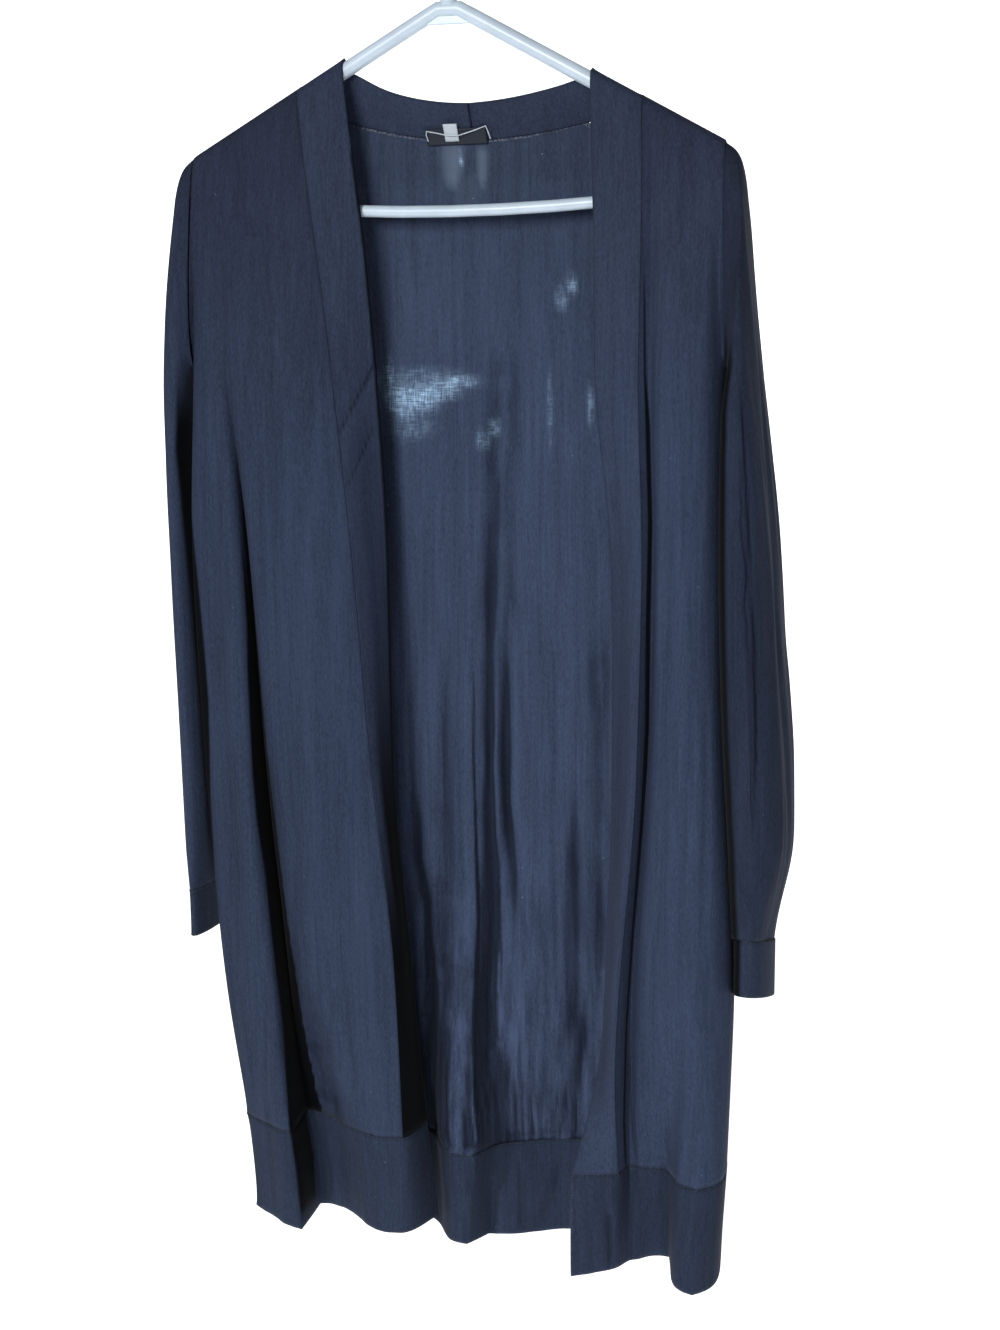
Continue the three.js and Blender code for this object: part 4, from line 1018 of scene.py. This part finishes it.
def make_hanger():
    """The loop of tube, the hook, the collar round its foot and the web below it."""
    plastic = plain_material("White moulded plastic", (0.60, 0.70, 0.80), 0.3, 0.5)
    right, right_widths = half_loop(1)
    left, left_widths = half_loop(-1)
    round_line = [*right, (0, 0, BAR_Z), *left[::-1]]
    round_widths = [*right_widths, BAR_SHARE, *left_widths[::-1]]
    loop = rod("hanger_loop", round_line, TUBE_RADIUS, plastic,
               closed=True, widths=round_widths, rounds=8)
    bow = arc(0, HOOK_Z, HOOK_BOW_RADIUS, 195, -62, 40)
    low_x, _, low_z = bow[-1]
    neck = [(low_x * 0.8, 0, low_z - 2.6), (low_x * 0.55, 0, low_z - 5.4),
            (low_x * 0.18, 0, (low_z - 5) * 0.45 - 58 * 0.55), (0, 0, -58), (0, 0, APEX_Z - 1)]
    hook = rod("hanger_hook", [*bow, *neck], HOOK_ROD_RADIUS, plastic, rounds=8)
    collar_heights = (COLLAR_TOP_Z, COLLAR_TOP_Z - 0.5, COLLAR_FOOT_Z + 1, COLLAR_FOOT_Z)
    collar = rod("hanger_collar", [(0, 0, z) for z in collar_heights], COLLAR_RADIUS, plastic,
                 widths=[0.9, 1.0, 1.0, 0.9], rounds=8)
    web = web_plate(plastic)
    for piece in (loop, hook, collar, web):
        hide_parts("hanger")


def web_plate(material):
    """The thin triangle between the tops of the arms."""
    shape = bmesh.new()
    half = WEB_HALF_WIDTH
    corners = [(-half, arm_z(-1, half)), (half, arm_z(1, half)), (0, APEX_Z)]
    front_y = -WEB_WALL / 2 * MM
    face = shape.faces.new([shape.verts.new((x * MM, front_y, z * MM)) for x, z in corners])
    made = bmesh.ops.extrude_face_region(shape, geom=[face])["geom"]
    moved = [g for g in made if isinstance(g, bmesh.types.BMVert)]
    bmesh.ops.translate(shape, vec=(0, WEB_WALL * MM, 0), verts=moved)
    bmesh.ops.recalc_face_normals(shape, faces=shape.faces)
    bmesh.ops.bevel(shape, geom=list(shape.edges), offset=WEB_EDGE * MM, segments=2,
                    profile=0.5, affect="EDGES", material=-1)
    mesh = bpy.data.meshes.new("hanger_web")
    shape.to_mesh(mesh)
    shape.free()
    mesh.materials.append(material)
    piece = in_scene("hanger_web", mesh)
    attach(piece, "root")
    return piece


make_hanger()

# Pale woven edge of the label: along its upper fold and down both ends
EDGING_LINE = [
    (-22.3, 17.2, -178.0), (-23.2, 15.2, -173.5), (-22.4, 13.6, -171.2), (-15.0, 13.6, -172.6),
    (-6.5, 13.8, -174.6), (2.0, 14.0, -174.8), (12.0, 13.6, -172.2), (22.6, 13.4, -168.9),
    (24.0, 15.0, -173.0), (25.2, 17.0, -177.6),
]
EDGING_RADIUS = 0.45
rod("label_edging", EDGING_LINE, EDGING_RADIUS, WHITE_WEAVE, rounds=3)


# Stage, light and camera

# In metres
FLOOR_Z = -1.22
FLOOR_FRONT_Y = -0.9
WALL_Y = 3.6
WALL_TOP_Z = 3.0
PAPER_WIDTH = 10.0
PAPER_BEND = 0.6
PAPER_COLOUR = (0.93, 0.94, 0.95, 1)
PAPER_ROUGHNESS = 0.9
PAPER_GLOW = 0.9

# Each light: its place, what it points at, its size and its power in watts
LIGHTS = {
    "key": ((-0.35, -2.3, 0.25), (0.0, 0.0, -0.50), (0.9, 0.9), 44),
    "fill": ((1.2, -2.0, -0.3), (0.0, 0.0, -0.55), (1.2, 1.4), 4),
}
ROOM_COLOUR = (0.85, 0.92, 1.0, 1)
ROOM_LIGHT = 0.12


def backdrop():
    """Pale paper that lies under the cardigan and bends up far behind it."""
    shape = bmesh.new()
    side = ((FLOOR_FRONT_Y, FLOOR_Z), (WALL_Y, FLOOR_Z), (WALL_Y, WALL_TOP_Z))
    line = [shape.verts.new((-PAPER_WIDTH / 2, y, z)) for y, z in side]
    edges = [shape.edges.new(pair) for pair in zip(line, line[1:])]
    swept = bmesh.ops.extrude_edge_only(shape, edges=edges)["geom"]
    far_side = [g for g in swept if isinstance(g, bmesh.types.BMVert)]
    bmesh.ops.translate(shape, vec=(PAPER_WIDTH, 0, 0), verts=far_side)
    corner = [e for e in shape.edges
              if all(abs(v.co.y - WALL_Y) + abs(v.co.z - FLOOR_Z) < 1e-6 for v in e.verts)]
    bmesh.ops.bevel(shape, geom=corner, offset=PAPER_BEND, segments=16, profile=0.5,
                    affect="EDGES", material=-1)
    mesh = bpy.data.meshes.new("studio_sweep")
    shape.to_mesh(mesh)
    shape.free()
    mesh.polygons.foreach_set("use_smooth", [True] * len(mesh.polygons))
    sweep = in_scene("studio_sweep", mesh)
    material, _, shader = new_material("Pale paper")
    shader.inputs["Base Color"].default_value = PAPER_COLOUR
    shader.inputs["Roughness"].default_value = PAPER_ROUGHNESS
    shader.inputs["Emission Color"].default_value = (1, 1, 1, 1)
    shader.inputs["Emission Strength"].default_value = PAPER_GLOW
    mesh.materials.append(material)


def soft_light(name, place, towards, size, power):
    """A soft rectangular lamp."""
    light = bpy.data.lights.new(name, "AREA")
    light.shape = "RECTANGLE"
    light.size, light.size_y = size
    light.energy = power
    lamp = in_scene(name, light)
    lamp.location = place
    lamp.rotation_mode = "QUATERNION"
    lamp.rotation_quaternion = (Vector(towards) - Vector(place)).to_track_quat("-Z", "Y")


def camera():
    """Looks as the photograph does."""
    data = bpy.data.cameras.new("camera")
    data.sensor_fit = "AUTO"
    data.sensor_width = SENSOR
    data.lens = LENS
    data.clip_start = 0.05
    turn, down = CAMERA_AZIMUTH, CAMERA_DOWN
    ahead = Vector((-math.sin(turn) * math.cos(down), math.cos(turn) * math.cos(down),
                    -math.sin(down)))
    right = Vector((math.cos(turn), math.sin(turn), 0))
    up = right.cross(ahead)
    c, s = math.cos(CAMERA_ROLL), math.sin(CAMERA_ROLL)
    right, up = c * right + s * up, c * up - s * right
    turned = Matrix((right, up, -ahead)).transposed().to_4x4()
    eye = in_scene("camera", data)
    eye.matrix_world = Matrix.Translation(CAMERA_PLACE) @ turned
    bpy.context.scene.camera = eye


backdrop()
for light_name, (light_place, towards, size, power) in LIGHTS.items():
    soft_light(light_name, light_place, towards, size, power)
camera()

world = bpy.data.worlds.new("studio")
world.use_nodes = True
room = world.node_tree.nodes["Background"]
room.inputs["Color"].default_value = ROOM_COLOUR
room.inputs["Strength"].default_value = ROOM_LIGHT
bpy.context.scene.world = world
bpy.context.scene.view_settings.view_transform = "Standard"
